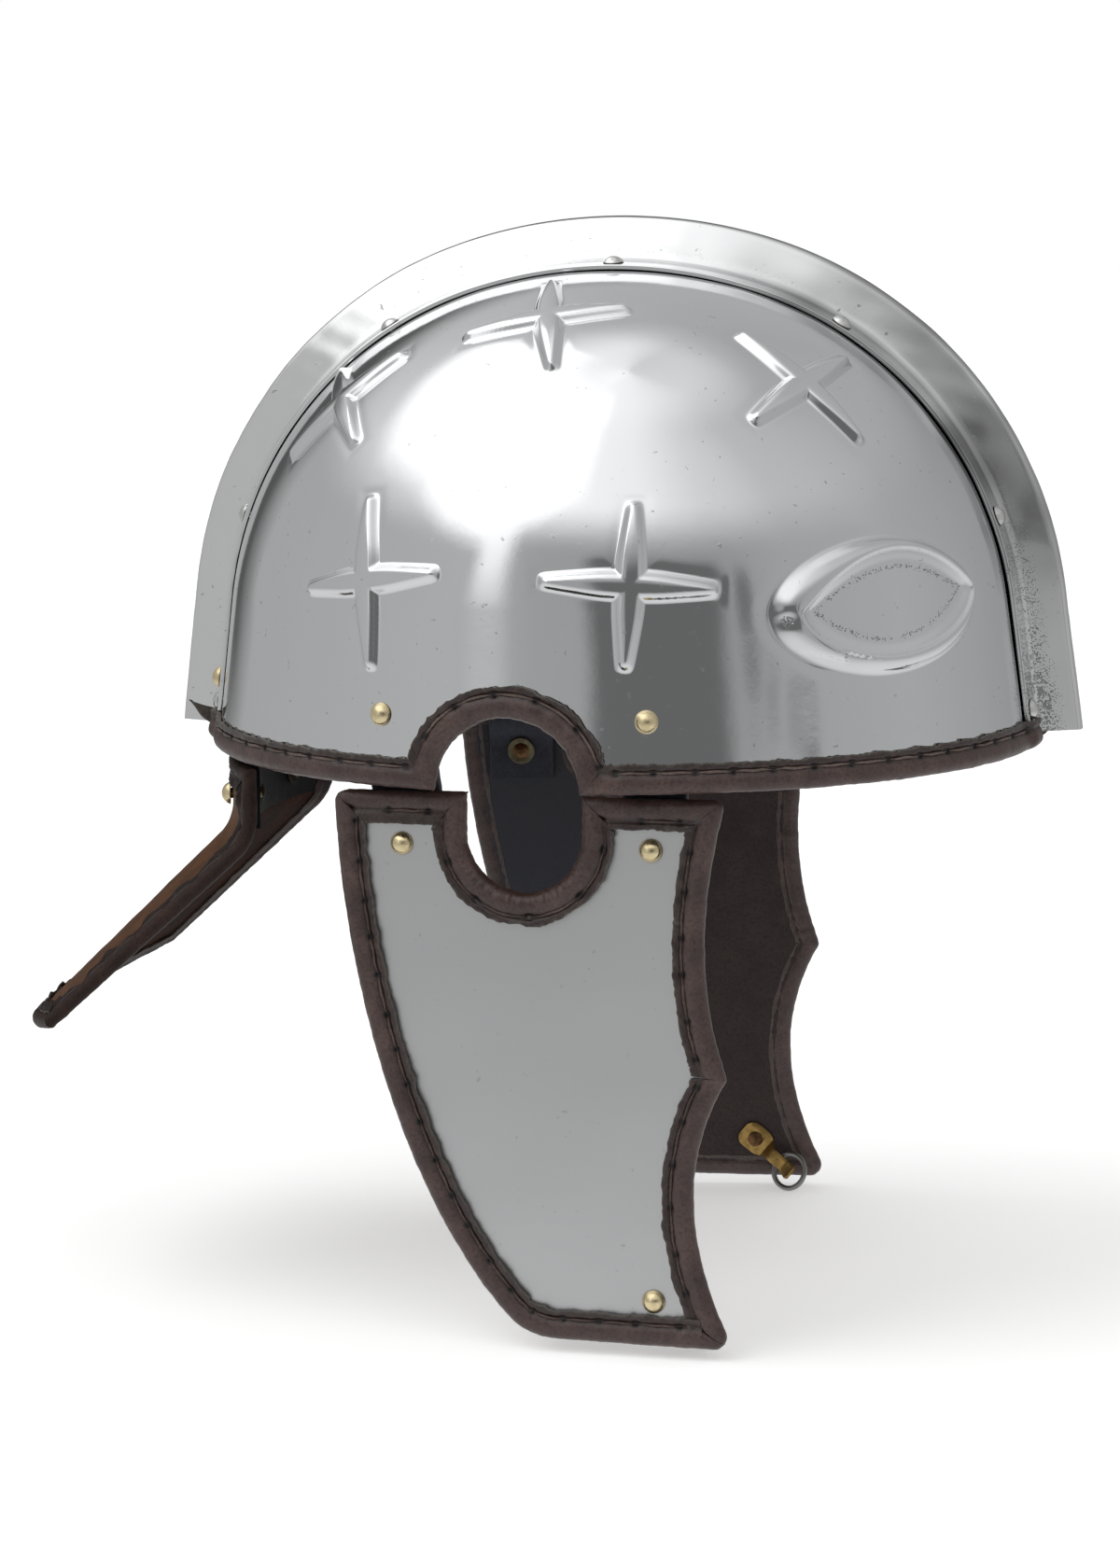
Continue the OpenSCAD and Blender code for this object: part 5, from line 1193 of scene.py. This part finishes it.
NECK_STRAP_W, NECK_FLAP = 62, NECK_FACE + SKIN_GAP + NECK_BIND_T + GAP
NECK_STRAP_LINE = [
    (-(float(half(LONG, z)) - depth), z) for z, depth in (
        (NECK_TOP_Z + STRAP_OVER, SKULL_T + 2 * GAP), (NECK_TOP_Z - 4.8, SKULL_T + 2 * GAP),
        (2.9, SKULL_T + 1.3 + 3 * GAP), (-1.8, SKULL_T + 1.3 + 3 * GAP))
] + [(-NECK_X + NECK_FLAP, -NECK_DROP - GAP),
     (-NECK_X + NECK_FLAP, -NECK_DROP - NECK_RIVET_D - STRAP_OVER + GAP)]


def neck_strap():
    line = np.array(NECK_STRAP_LINE)
    s = np.concatenate([[0], np.cumsum(np.linalg.norm(np.diff(line, axis=0), axis=1))])
    t = np.linspace(0, s[-1], 44)
    x, z = (np.interp(t, s, v)[:, None] for v in line.T)
    y = np.linspace(-1, 1, 46) * NECK_STRAP_W / 2
    faces = []
    for depth in (0, STRAP_T):
        r = NECK_R - (x + NECK_X) - depth
        p = np.stack([x + depth + r - np.sqrt(r * r - y * y), y + 0 * r, z + 0 * r * y], -1)
        p[..., 0] += 0.1 * waves(p, 14, 71, 3)
        faces.append(p)
    return slab(Shape(), *faces, np.array([-1, 0, 0]))


# Liner

LINER_LOW, LINER_HIGH, LINER_T = 27, 52, 1.6
BAND_DEPTH = SKULL_T + GAP + SKIN_GAP
TONGUES, TONGUE_R, TONGUE_Z, TONGUE_BOW, TONGUE_LAP = 8, 19, SKULL_H - 18.3, 4, 9
TONGUE_DEPTH = BAND_DEPTH + LINER_T + GAP


def liner_band():
    rows, cols = 22, 300
    z = np.linspace(LINER_LOW, LINER_HIGH, rows)[:, None]
    phi = np.arange(cols)[None] * 2 * math.pi / cols
    p, n = skull_point(phi, z), skull_out(phi, z)
    bump = 0.12 * waves(p, 16, 81, 3)
    inner = p - n * (BAND_DEPTH + LINER_T + bump)[..., None]
    ring = np.concatenate([p - n * BAND_DEPTH, inner[::-1]])
    return Shape().add(ring, grid_faces(2 * rows, cols, True, True)[:, ::-1])


def tongue(shape, phi, seed):
    """One tongue of the liner, from its lap inside the band to the lace at the top."""
    a = phi + np.linspace(-1, 1, 17)[None] * (math.pi / TONGUES - math.radians(1.6))
    z = np.linspace(LINER_HIGH - TONGUE_LAP, LINER_HIGH, 8)[:-1, None] + 0 * a
    low, low_n = skull_deep(a + 0 * z, z, TONGUE_DEPTH + 0 * z), -skull_out(a + 0 * z, z)
    t = np.linspace(0, 1, 34)[:, None, None]
    start = skull_deep(a, 0 * a + LINER_HIGH, TONGUE_DEPTH + 0 * a)
    bend = skull_deep(a, 0 * a + TONGUE_Z - TONGUE_BOW, TONGUE_DEPTH + TONGUE_BOW + 0 * a)
    tip = np.stack([TONGUE_R * np.cos(a), -TONGUE_R * np.sin(a), TONGUE_Z + 0 * a], -1)
    p = (1 - t) ** 2 * start + 2 * t * (1 - t) * bend + t ** 2 * tip
    along = unit(2 * (1 - t) * (bend - start) + 2 * t * (tip - bend))
    n = unit(np.cross(np.stack([-np.sin(a), -np.cos(a), 0 * a], -1), along))
    p, n = np.concatenate([low, p]), np.concatenate([low_n, n])
    bump = 0.25 * waves(p, 24, seed, 2)
    slab(shape, p, p + n * (LINER_T + bump)[..., None], -n[0, 0])


def liner_lace():
    a = np.arange(160) * math.pi / 80
    r = TONGUE_R - 1.2 - 3 * GAP
    z = TONGUE_Z - LINER_T / 2 + 0.1 * np.sin(8 * a)
    line = np.stack([r * np.cos(a), r * np.sin(a), z], -1)
    shape = Shape()
    tube(shape, line, 1.15 + 0.05 * np.sin(24 * a), 12)
    return shape


# Materials

class Look:
    """A procedural material and its nodes."""

    def __init__(self, name):
        self.m = bpy.data.materials.new(name)
        self.m.use_nodes = True
        self.tree = self.m.node_tree
        self.shader = next(n for n in self.tree.nodes if n.type == "BSDF_PRINCIPLED")
        self.place = self.node("ShaderNodeTexCoord").outputs["Object"]

    def node(self, kind, **inputs):
        n = self.tree.nodes.new(kind)
        self.fill(n, inputs)
        return n

    def fill(self, n, inputs):
        for k, v in inputs.items():
            self.put(n.inputs[k.replace("_", " ")], v)

    def put(self, socket, v):
        if isinstance(v, bpy.types.NodeSocket):
            self.tree.links.new(v, socket)
        else:
            socket.default_value = v

    def noise(self, size, detail=3.0, rough=0.55, stretch=None, distort=0.0):
        place = self.place
        if stretch:
            place = self.node("ShaderNodeMapping", Vector=self.place, Scale=stretch).outputs[0]
        n = self.node("ShaderNodeTexNoise", Vector=place, Scale=1 / (size * MM), Detail=detail,
                      Roughness=rough, Distortion=distort)
        return n.outputs["Fac"]

    def cells(self, size, feature="F1"):
        n = self.node("ShaderNodeTexVoronoi", Vector=self.place, Scale=1 / (size * MM))
        n.feature = feature
        return n.outputs["Distance"]

    def ramp(self, value, *stops):
        n = self.node("ShaderNodeValToRGB", Fac=value)
        e = n.color_ramp.elements
        while len(e) < len(stops):
            e.new(0.5)
        for k, (at, c) in enumerate(stops):
            e[k].position = at
            e[k].color = (c, c, c, 1) if isinstance(c, (int, float)) else (*c, 1)
        return n.outputs["Color"]

    def math(self, what, a, b=0.0, clamp=False):
        n = self.tree.nodes.new("ShaderNodeMath")
        n.operation = what
        n.use_clamp = clamp
        self.put(n.inputs[0], a)
        self.put(n.inputs[1], b)
        return n.outputs[0]

    def times(self, a, b, clamp=False):
        return self.math("MULTIPLY", a, b, clamp)

    def plus(self, a, b, clamp=False):
        return self.math("ADD", a, b, clamp)

    def mix(self, share, a, b):
        n = self.tree.nodes.new("ShaderNodeMix")
        n.data_type = "RGBA"
        self.put(n.inputs[0], share)
        for socket, v in ((n.inputs[6], a), (n.inputs[7], b)):
            self.put(socket, (*v, 1) if isinstance(v, tuple) else v)
        return n.outputs[2]

    def value(self, name):
        n = self.tree.nodes.new("ShaderNodeAttribute")
        n.attribute_name = name
        return n.outputs["Fac"]

    def bump(self, height, strength, distance, normal=None):
        n = self.node("ShaderNodeBump", Height=height, Strength=strength, Distance=distance * MM)
        if normal is not None:
            self.put(n.inputs["Normal"], normal)
        return n.outputs[0]

    def finish(self, color, rough, metal=0.0, normal=None, **more):
        more.update(Base_Color=(*color, 1) if isinstance(color, tuple) else color,
                    Roughness=rough, Metallic=metal)
        if normal is not None:
            more["Normal"] = normal
        self.fill(self.shader, more)
        return self.m


def srgb(code):
    """Linear colour of a code of six hex digits."""
    return tuple(((c / 255 + 0.055) / 1.055) ** 2.4 if c > 10 else c / 255 / 12.92
                 for c in bytes.fromhex(code))


def steel(name, color, rough, spread, pits, satin):
    k = Look(name)
    cloud = k.noise(22, 4)
    fine = k.noise(0.9, 4, 0.65)
    scratch = k.noise(1.6, 3, 0.7, stretch=(0.3, 0.3, 6.0))
    spots = k.ramp(k.noise(2.3, 6, 0.62), (0.0, 1.0), (0.29, 1.0), (0.335, 0.0))
    patchy = k.times(k.value("stain"), k.ramp(k.noise(1.8, 3, 0.6), (0.3, 0.5), (0.6, 1.0)))
    speck = k.math("SUBTRACT", k.times(patchy, 0.74), k.cells(0.6))
    stain = k.ramp(k.plus(speck, 0.5), (0.5, 0.0), (0.57, 0.85))
    dirt = k.plus(k.times(spots, pits), stain, clamp=True)
    r = k.plus(k.times(cloud, spread), k.times(scratch, spread * 0.8))
    r = k.plus(r, rough - spread)
    r = k.plus(r, k.times(dirt, 0.25), clamp=True)
    dark = tuple(c * 0.32 for c in color)
    clouded = k.mix(k.times(cloud, 0.25), color, tuple(c * 0.86 for c in color))
    base = k.mix(dirt, clouded, dark)
    base = k.mix(k.times(k.value("dark"), 0.8, True), base, dark)
    n = k.bump(k.noise(5.5, 3, 0.5), 0.12 + satin, 0.12)
    n = k.bump(fine, 0.10 + satin, 0.03, n)
    n = k.bump(dirt, 0.5, 0.05, n)
    return k.finish(base, r, 1.0, n)


def leather(name, color, light, dark, rough, pore, bump, raw=None, coat=0.25, rear=None):
    k = Look(name)
    color, light, dark = srgb(color), srgb(light), srgb(dark)
    worn = k.noise(8, 5, 0.6)
    fine = k.noise(0.8, 4, 0.6)
    grain = k.cells(pore, "DISTANCE_TO_EDGE")
    base = k.mix(k.ramp(worn, (0.35, 0.0), (0.7, 1.0)), color, light)
    base = k.mix(k.ramp(fine, (0.3, 0.7), (0.55, 0.0)), base, dark)
    if rear:
        # Another dye towards the back of the helmet
        place = k.node("ShaderNodeSeparateXYZ", Vector=k.place)
        share = k.node("ShaderNodeMapRange", Value=place.outputs[0], From_Min=-8 * MM,
                       From_Max=-20 * MM)
        base = k.mix(share.outputs[0], base, srgb(rear))
    if raw:
        # The dark value gives the raw strip and torn tip their own darker tone, and paints shade
        # into the stitch groove and holes.
        base = k.mix(k.times(k.value("dark"), 0.9, True), base, tuple(c * 0.35 for c in dark))
        edge = k.times(k.value("raw"), k.ramp(k.noise(1.2, 3), (0.32, 0.3), (0.6, 1.0)))
        base = k.mix(k.times(edge, 0.8), base, srgb(raw))
    n = k.bump(k.ramp(grain, (0.0, 0.0), (0.22, 1.0)), bump * 0.55, 0.09)
    n = k.bump(k.noise(2.6, 4, 0.6), bump, 0.22, n)
    r = k.plus(k.times(worn, 0.25), rough - 0.12)
    return k.finish(base, r, 0.0, n, Specular_IOR_Level=coat)


def brass(name, color, dull, rough, tarnish):
    k = Look(name)
    color, dull = srgb(color), srgb(dull)
    stain = k.ramp(k.noise(2.4, 5, 0.65), (0.42, 0.0), (0.66, 1.0))
    base = k.mix(k.times(stain, tarnish), color, dull)
    base = k.mix(k.times(k.value("dark"), 0.85, True), base, tuple(c * 0.2 for c in dull))
    r = k.plus(k.times(stain, 0.22), rough)
    n = k.bump(k.noise(1.1, 4, 0.6), 0.10, 0.04)
    return k.finish(base, r, 1.0, n)


# Blender adds a number to a name that a material of the CAD has
M = {m.name.split(".")[0]: m for m in (
    steel("polished_steel", (0.80, 0.81, 0.82), 0.09, 0.05, 0.5, 0.02),
    steel("ridge_steel", (0.86, 0.865, 0.87), 0.13, 0.05, 0.75, 0.03),
    steel("satin_steel", (0.60, 0.605, 0.61), 0.40, 0.10, 0.3, 0.05),
    steel("ring_steel", (0.22, 0.22, 0.21), 0.36, 0.10, 0.8, 0.2),
    steel("rivet_steel", (0.74, 0.74, 0.73), 0.14, 0.06, 0.5, 0.1),
    brass("hook_brass", "9c804c", "5c4a2e", 0.34, 0.6),
    brass("washer_brass", "746e58", "4a4030", 0.42, 0.6),
    brass("peened_brass", "6c5036", "382a20", 0.42, 0.6),
    brass("rivet_brass", "ecdcb2", "a88c64", 0.2, 0.25),
    # A dark brass for the hidden washers and rivet tails of the neck guard: painted shade in the
    # gap under it.
    brass("dull_brass", "342e24", "221d18", 0.5, 0.6),
    leather("binding_leather", "382926", "4c3934", "201817", 0.36, 0.7, 0.45, "4a463e", 0.5),
    # A darker copy of the binding leather for the neck guard: painted shade for its underside, away
    # from the light.
    leather("neck_binding_leather", "241916", "34251f", "150f0e", 0.5, 0.7, 0.45, "362d25", 0.15),
    leather("cover_leather", "482a0f", "603b19", "2c1a0b", 0.5, 0.8, 0.4, coat=0.2),
    leather("lining_leather", "2e2423", "382d2c", "201919", 0.6, 0.8, 0.5, rear="2e2f36"),
    # A near-black copy of the lining leather for the neck guard's inner face: painted shade for the
    # underside.
    leather("neck_lining_leather", "1e1512", "362118", "0f0b0a", 0.8, 0.8, 0.5, coat=0.05),
    leather("strap_leather", "22242e", "2c2e39", "14151c", 0.5, 0.7, 0.4, "343030"),
    leather("neck_strap_leather", "181719", "212023", "0f0e10", 0.55, 0.7, 0.4, "282422", 0.1),
    leather("liner_leather", "785a40", "8e6e50", "583e2c", 0.6, 0.9, 0.4),
    leather("lace_leather", "423228", "584234", "281e1a", 0.55, 0.5, 0.4),
    leather("waxed_thread", "3c312d", "544640", "241c1a", 0.5, 0.3, 0.3),
    leather("rim_thread_leather", "4e423d", "665851", "322926", 0.45, 0.3, 0.3))}


# Pieces

def both(shape, name, materials, body, slot, node=None, sharp=40, bend=None):
    """A right and a mirrored left piece; given bend, which is two bodies and the points between
    them, both stay in place rather than riding on a body.
    """
    for (side, sign), made in zip(SIDES, (shape, shape.flipped())):
        ends = bend and (bend[0], bend[1].format(side),
                         *((x * MM, y * MM * sign, z * MM) for x, y, z in bend[2:]))
        piece(made, f"{name}_{side}", materials, body.format(side), slot,
              node and f"{node}_{side}", sharp, ends)


def gathered(make, places, **sizes):
    """One shape of all the rivets or washers at the places."""
    shape = Shape()
    for place in places:
        make(shape, *place, **sizes)
    return shape


CHEEK, BRASS_AND_TAIL = "cheek_{}", "rivet_brass peened_brass"
both(skull_half(), "bowl", "polished_steel", "skull", "skull_steel", "skull", 75)
piece(ridge(), "ridge_piece", "ridge_steel", "skull", "ridge_steel", "ridge", 28)
both(gathered(rivet, [(at, out, 2.7, 500 + 3 * k) for k, (at, out) in enumerate(RIDGE_PLACES)],
              d=5.6, h=1.7, tail=0), "dome", "rivet_steel", "skull", "ridge_steel", "ridge_rivets")
for make, name, thread, body in ((rim_binding, "rim", "rim_thread_leather", "skull"),
                                 (cheek_binding, "cheek", "waxed_thread", CHEEK)):
    folded, threads = make()
    both(folded, f"{name}_leather", "binding_leather", body, "binding_leather",
         f"{name}_binding", 45)
    both(threads, f"{name}_thread", thread, body, "binding_leather")
both(cheek_sheet(4.6, -PLATE_T / 2, PLATE_T / 2, 0.18), "plate", "satin_steel", CHEEK,
     "plate_steel", "cheek_plate")
both(cheek_sheet(1.5, -LINING_IN, -PLATE_T / 2 - SKIN_GAP - 0.05), "lining", "lining_leather",
     CHEEK, "lining_leather", "cheek_lining")

seats = []
for x, _, w in STRAPS.values():
    phi, z = phi_of(x, SKULL_RIVET_Z), np.array(float(SKULL_RIVET_Z))
    seats.append((skull_point(phi, z), skull_out(phi, z), strap_depth(w) + STRAP_T + GAP))
both(gathered(rivet, [(at + out * 0.1, out, grip + WASHER_T + 0.1, 540 + k)
                      for k, (at, out, grip) in enumerate(seats)]),
     "strap_dome", BRASS_AND_TAIL, "skull", "rivet_brass", "strap_rivets")
both(gathered(washer, [(at - out * (grip + WASHER_T), out) for at, out, grip in seats]),
     "strap_washer", "washer_brass", "skull", "washer_brass", "strap_rivet_washers")
places = []
for k, (u, v) in enumerate(CHEEK_RIVETS):
    grip = PLATE_T / 2 + (STRAP_LOW + STRAP_T + 1.0 if k < 2 else HOOK_LIE + HOOK_T)
    places.append((cheek_point(u, v, PLATE_T / 2 + 0.1), OUT, grip + 0.1, 560 + k))
both(gathered(rivet, places), "cheek_dome", BRASS_AND_TAIL, CHEEK, "rivet_brass", "cheek_rivets")
both(gathered(washer, [(cheek_point(u, v, -STRAP_LOW - STRAP_T - SKIN_GAP - WASHER_T), OUT)
                       for u, v in CHEEK_RIVETS[:2]]),
     "cheek_washer", "washer_brass", CHEEK, "washer_brass", "cheek_washers")
for which, (x, u, w) in STRAPS.items():
    both(cheek_strap(x, u, w, 600), f"strap_{which}_leather", "strap_leather", CHEEK,
         "strap_leather", f"strap_{which}", 50,
         ("skull", CHEEK, (x, -90.5, 4.5), (u, -78.0, -10.0)))
both(tie_hook(), "hook", "hook_brass", CHEEK, "hook_brass", "tie_hook", 50)
both(tie_ring(), "ring", "ring_steel", "ring_{}", "ring_steel", "tie_ring", 60)

for name, material, slot, node, *sizes in (
        ("guard_plate", "satin_steel", "plate_steel", "neck_plate",
         -PLATE_T / 2, PLATE_T / 2, 1.8, 0.0, 1),
        ("guard_cover", "cover_leather", "cover_leather", "neck_cover",
         PLATE_T / 2, NECK_THIN, 1.6, 0.1, 91),
        ("guard_lining", "neck_lining_leather", "lining_leather", "neck_lining",
         -NECK_THIN, -PLATE_T / 2, 1.6, 0.06, 92)):
    piece(neck_sheet(*sizes), name, material, "neck_guard", slot, node)
folded, threads = neck_binding()
piece(folded, "guard_leather", "neck_binding_leather", "neck_guard", "binding_leather",
      "neck_binding", 45)
piece(threads, "guard_thread", "waxed_thread", "neck_guard", "binding_leather")
seats = [neck_seat(y, NECK_RIVET_D) for y in (-NECK_RIVET_Y, NECK_RIVET_Y)]
# The neck guard's rivet tails and washers take the dark brass: painted shade under the guard.
DULL = "rivet_brass dull_brass"
piece(gathered(rivet, [(at + out * (NECK_FACE + 0.1), out, 2 * NECK_FACE + 5.4, 580 + k)
                       for k, (at, out) in enumerate(seats)]),
      "guard_domes", DULL, "neck_guard", "rivet_brass", "neck_rivets")
piece(gathered(washer, [(at - out * (NECK_FLAP + STRAP_T + 1.05), out) for at, out in seats]),
      "guard_washers", "dull_brass", "neck_guard", "washer_brass", "neck_washers")
piece(neck_strap(), "neck_strap_leather", "neck_strap_leather", None, "strap_leather",
      "neck_strap", 50, ("skull", "neck_guard", (-0.104, 0, 0.003), (-0.101, 0, -0.0095)))
at, out = NECK_TOP_PLACE
piece(gathered(rivet, [(at + out * 0.1, out, NECK_GRIP + 1.1, 590)]).doubled(),
      "neck_strap_domes", DULL, "skull", "rivet_brass", "neck_strap_rivets")
piece(gathered(washer, [(at - out * (NECK_GRIP + 0.9), out)]).doubled(),
      "neck_strap_washer_pair", "dull_brass", "skull", "washer_brass", "neck_strap_washers")
piece(liner_band(), "liner_band_leather", "liner_leather", "skull", "liner_leather", "liner_band")
piece(gathered(tongue, [(2 * math.pi * (k + 0.5) / TONGUES, 700 + k) for k in range(TONGUES)]),
      "liner_tongue_leather", "liner_leather", "skull", "liner_leather", "liner_tongues")
piece(liner_lace(), "liner_lace_leather", "lace_leather", "skull", "lace_leather", "liner_lace", 80)

# Stage: floor, reflecting dome, lamps, world

scene = bpy.context.scene
CAM_AZ, CAM_EL, CAM_ROLL = (math.radians(v) for v in (10.74, 9.16, -0.89))
CAM_FAR, CAM_RIGHT, CAM_UP, CAM_AIM_Z, CAM_LENS = 1244.4, -17.6, -19.03, 2.7, 107.7
UP = np.array([0, 0, 1.0])
level = np.array([math.cos(CAM_AZ), math.sin(CAM_AZ), 0])
flat_back = np.array([math.sin(CAM_AZ), -math.cos(CAM_AZ), 0])
back = flat_back * math.cos(CAM_EL) + UP * math.sin(CAM_EL)
rise = np.cross(back, level)
right = level * math.cos(CAM_ROLL) + rise * math.sin(CAM_ROLL)
up = rise * math.cos(CAM_ROLL) - level * math.sin(CAM_ROLL)
eye = back * CAM_FAR + right * CAM_RIGHT + up * CAM_UP + UP * CAM_AIM_Z
cam = bpy.data.objects.new("camera", bpy.data.cameras.new("camera"))
cam.matrix_world = Matrix([[*map(float, row)] for row in np.c_[right, up, back, eye * MM]]
                          + [[0, 0, 0, 1]])
cam.data.sensor_width, cam.data.lens, cam.data.clip_start = 36, CAM_LENS, 0.05
scene.collection.objects.link(cam)
scene.camera = cam


# The floor lies just under the guards and rings
FLOOR_HALF, FLOOR_GAP, FLOOR_WHITE, FLOOR_GLOW = 5.0, 0.0003, 0.9, 0.33
lowest = [ob for ob in scene.objects
          if ob.type == "MESH" and ob.name.startswith(("cheek_leather", "ring_"))]
floor_z = min(v.co.z for ob in lowest for v in ob.data.vertices) - FLOOR_GAP
look = Look("white_floor")
look.finish((FLOOR_WHITE,) * 3, 0.9, Emission_Color=(*(FLOOR_WHITE,) * 3, 1),
            Emission_Strength=FLOOR_GLOW)
me = bpy.data.meshes.new("floor")
me.from_pydata([(x * FLOOR_HALF, y * FLOOR_HALF, floor_z)
                for x, y in ((-1, -1), (1, -1), (1, 1), (-1, 1))], [], [(0, 1, 2, 3)])
me.materials.append(look.m)
floor = bpy.data.objects.new("floor", me)
scene.collection.objects.link(floor)
floor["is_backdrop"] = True


def glow(az, el):
    """Brightness of the studio's walls by direction from the camera's side, in degrees."""
    def inside(v, a, b, soft):
        return smooth(v, a - soft, a + soft) * smooth(v, b + soft, b - soft)

    lower = np.interp(az, [-180, -150, -132, -50, -28, 24, 40, 75, 110, 140, 165, 180],
                      [0.08, 0.10, 0.44, 0.50, 0.40, 0.36, 0.42, 0.46, 0.40, 0.34, 0.24, 0.10])
    upper = np.interp(az, [-180, -150, -30, 0, 20, 45, 70, 95, 140, 180],
                      [0.50, 0.60, 1.15, 1.05, 0.80, 0.60, 0.55, 0.48, 0.45, 0.50])
    v = lower + (upper - lower) * smooth(el, 22, 40)
    top = np.interp(az, [-180, -60, 0, 60, 150, 180], [1.0, 1.2, 1.1, 0.82, 0.75, 1.0])
    v = v + (top - v) * smooth(el, 62, 80)
    # A dark opening with a darker streak beside it
    v = v + (0.15 - v) * (inside(az, -14, 21, 3.0) * smooth(el, 24, 16))
    streak = az - 16 * smooth(el, 3.6, 1.2)
    v = v + (0.17 - v) * (inside(streak, 25, 29, 1.4) * smooth(el, 22, 12))
    low = np.interp(az, [-150, -138, -120, -100, -76, -60, -45, -30, -20],
                    [56, 51, 46, 39, 38, 29, 25, 34, 42])
    key = inside(az, -146, -18, 4) * smooth(el, low - 6, low + 5) * smooth(el, 84, 74)
    v = v + (1.45 - v) * key
    # Its light falls off downwards in a band
    band = inside(az, -45, -36, 3) * np.interp(el, [-4, 2, 6, 17, 31], [0, 0.1, 0.4, 0.75, 1.0])
    v = v + (1.25 - v) * np.clip(band, 0, 1) * (v < 1.25)
    # The sweep brightens slowly from the foot of the walls to the table under the helmet
    table = np.interp(el, [-85, -45, -25, -10, -2], [0.85, 0.8, 0.72, 0.5, 0.3])
    return np.where(el < 0, v + (table - v) * smooth(el, -2, -14), v)


def directions(az, el):
    """Directions by angle from the camera's side and by height, in radians."""
    az, el = np.asarray(az)[..., None], np.asarray(el)[..., None]
    return (flat_back * (np.cos(az) * np.cos(el)) + level * (np.sin(az) * np.cos(el))
            + UP * np.sin(el))


DOME_ROWS, DOME_COLS, DOME_R = (20, 150), 400, 4.2
el = np.concatenate([np.linspace(-86, -4, DOME_ROWS[0]), np.linspace(-3, 90, DOME_ROWS[1])])
az = np.arange(DOME_COLS) * 360 / DOME_COLS - 180
el, az = np.broadcast_arrays(el[:, None], az[None])
e = np.radians(el)
# Below the horizon the sweep lies just over the floor
table_drop = -floor_z - 0.0002
reach = np.minimum(DOME_R, table_drop / np.maximum(1e-6, -np.sin(e)))
walls = Shape().add(directions(np.radians(az), e) * np.where(e < 0, reach, DOME_R)[..., None] / MM,
                    grid_faces(*el.shape, wrap_cols=True), glow=glow(az, el))
k = Look("studio_wall")
emission = k.node("ShaderNodeEmission", Color=k.ramp(0.5, (0.0, 1.0), (1.0, 1.0)),
                  Strength=k.value("glow"))
target = next(n for n in k.tree.nodes if n.type == "OUTPUT_MATERIAL")
k.put(target.inputs["Surface"], emission.outputs[0])
dome_ob = walls.mesh("studio_dome", [k.m], 180)
for flag in ("camera", "diffuse", "shadow", "transmission", "volume_scatter"):
    setattr(dome_ob, "visible_" + flag, False)
dome_ob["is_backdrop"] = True


for name, az, el, spread, power in (("key", -80, 48, 50, 1.0), ("fill", 20, 35, 60, 0.5)):
    data = bpy.data.lights.new(name, "SUN")
    data.angle, data.energy = math.radians(spread), power
    ob = bpy.data.objects.new(name, data)
    towards = Vector(directions(math.radians(az), math.radians(el)))
    ob.rotation_euler = towards.to_track_quat("Z", "Y").to_euler()
    ob.visible_glossy = False
    scene.collection.objects.link(ob)

WORLD_LIGHT, WORLD_SHOWN = 0.6, 1.0
world = bpy.data.worlds.new("studio")
scene.world = world
world.use_nodes = True
tree = world.node_tree
light_path = tree.nodes.new("ShaderNodeLightPath")
shown = light_path.outputs["Is Camera Ray"]
for name in ("Is Glossy Ray", "Is Transmission Ray"):
    n = tree.nodes.new("ShaderNodeMath")
    n.operation = "MAXIMUM"
    tree.links.new(shown, n.inputs[0])
    tree.links.new(light_path.outputs[name], n.inputs[1])
    shown = n.outputs[0]
mix = tree.nodes.new("ShaderNodeMix")
tree.links.new(shown, mix.inputs[0])
mix.inputs[2].default_value, mix.inputs[3].default_value = WORLD_LIGHT, WORLD_SHOWN
bg = next(n for n in tree.nodes if n.type == "BACKGROUND")
bg.inputs["Color"].default_value = (1, 1, 1, 1)
tree.links.new(mix.outputs[0], bg.inputs["Strength"])

scene.view_settings.view_transform = "Standard"
visual_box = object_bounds()


def rows_of(box):
    return [[round(float(c), 6) for c in v] for v in box]
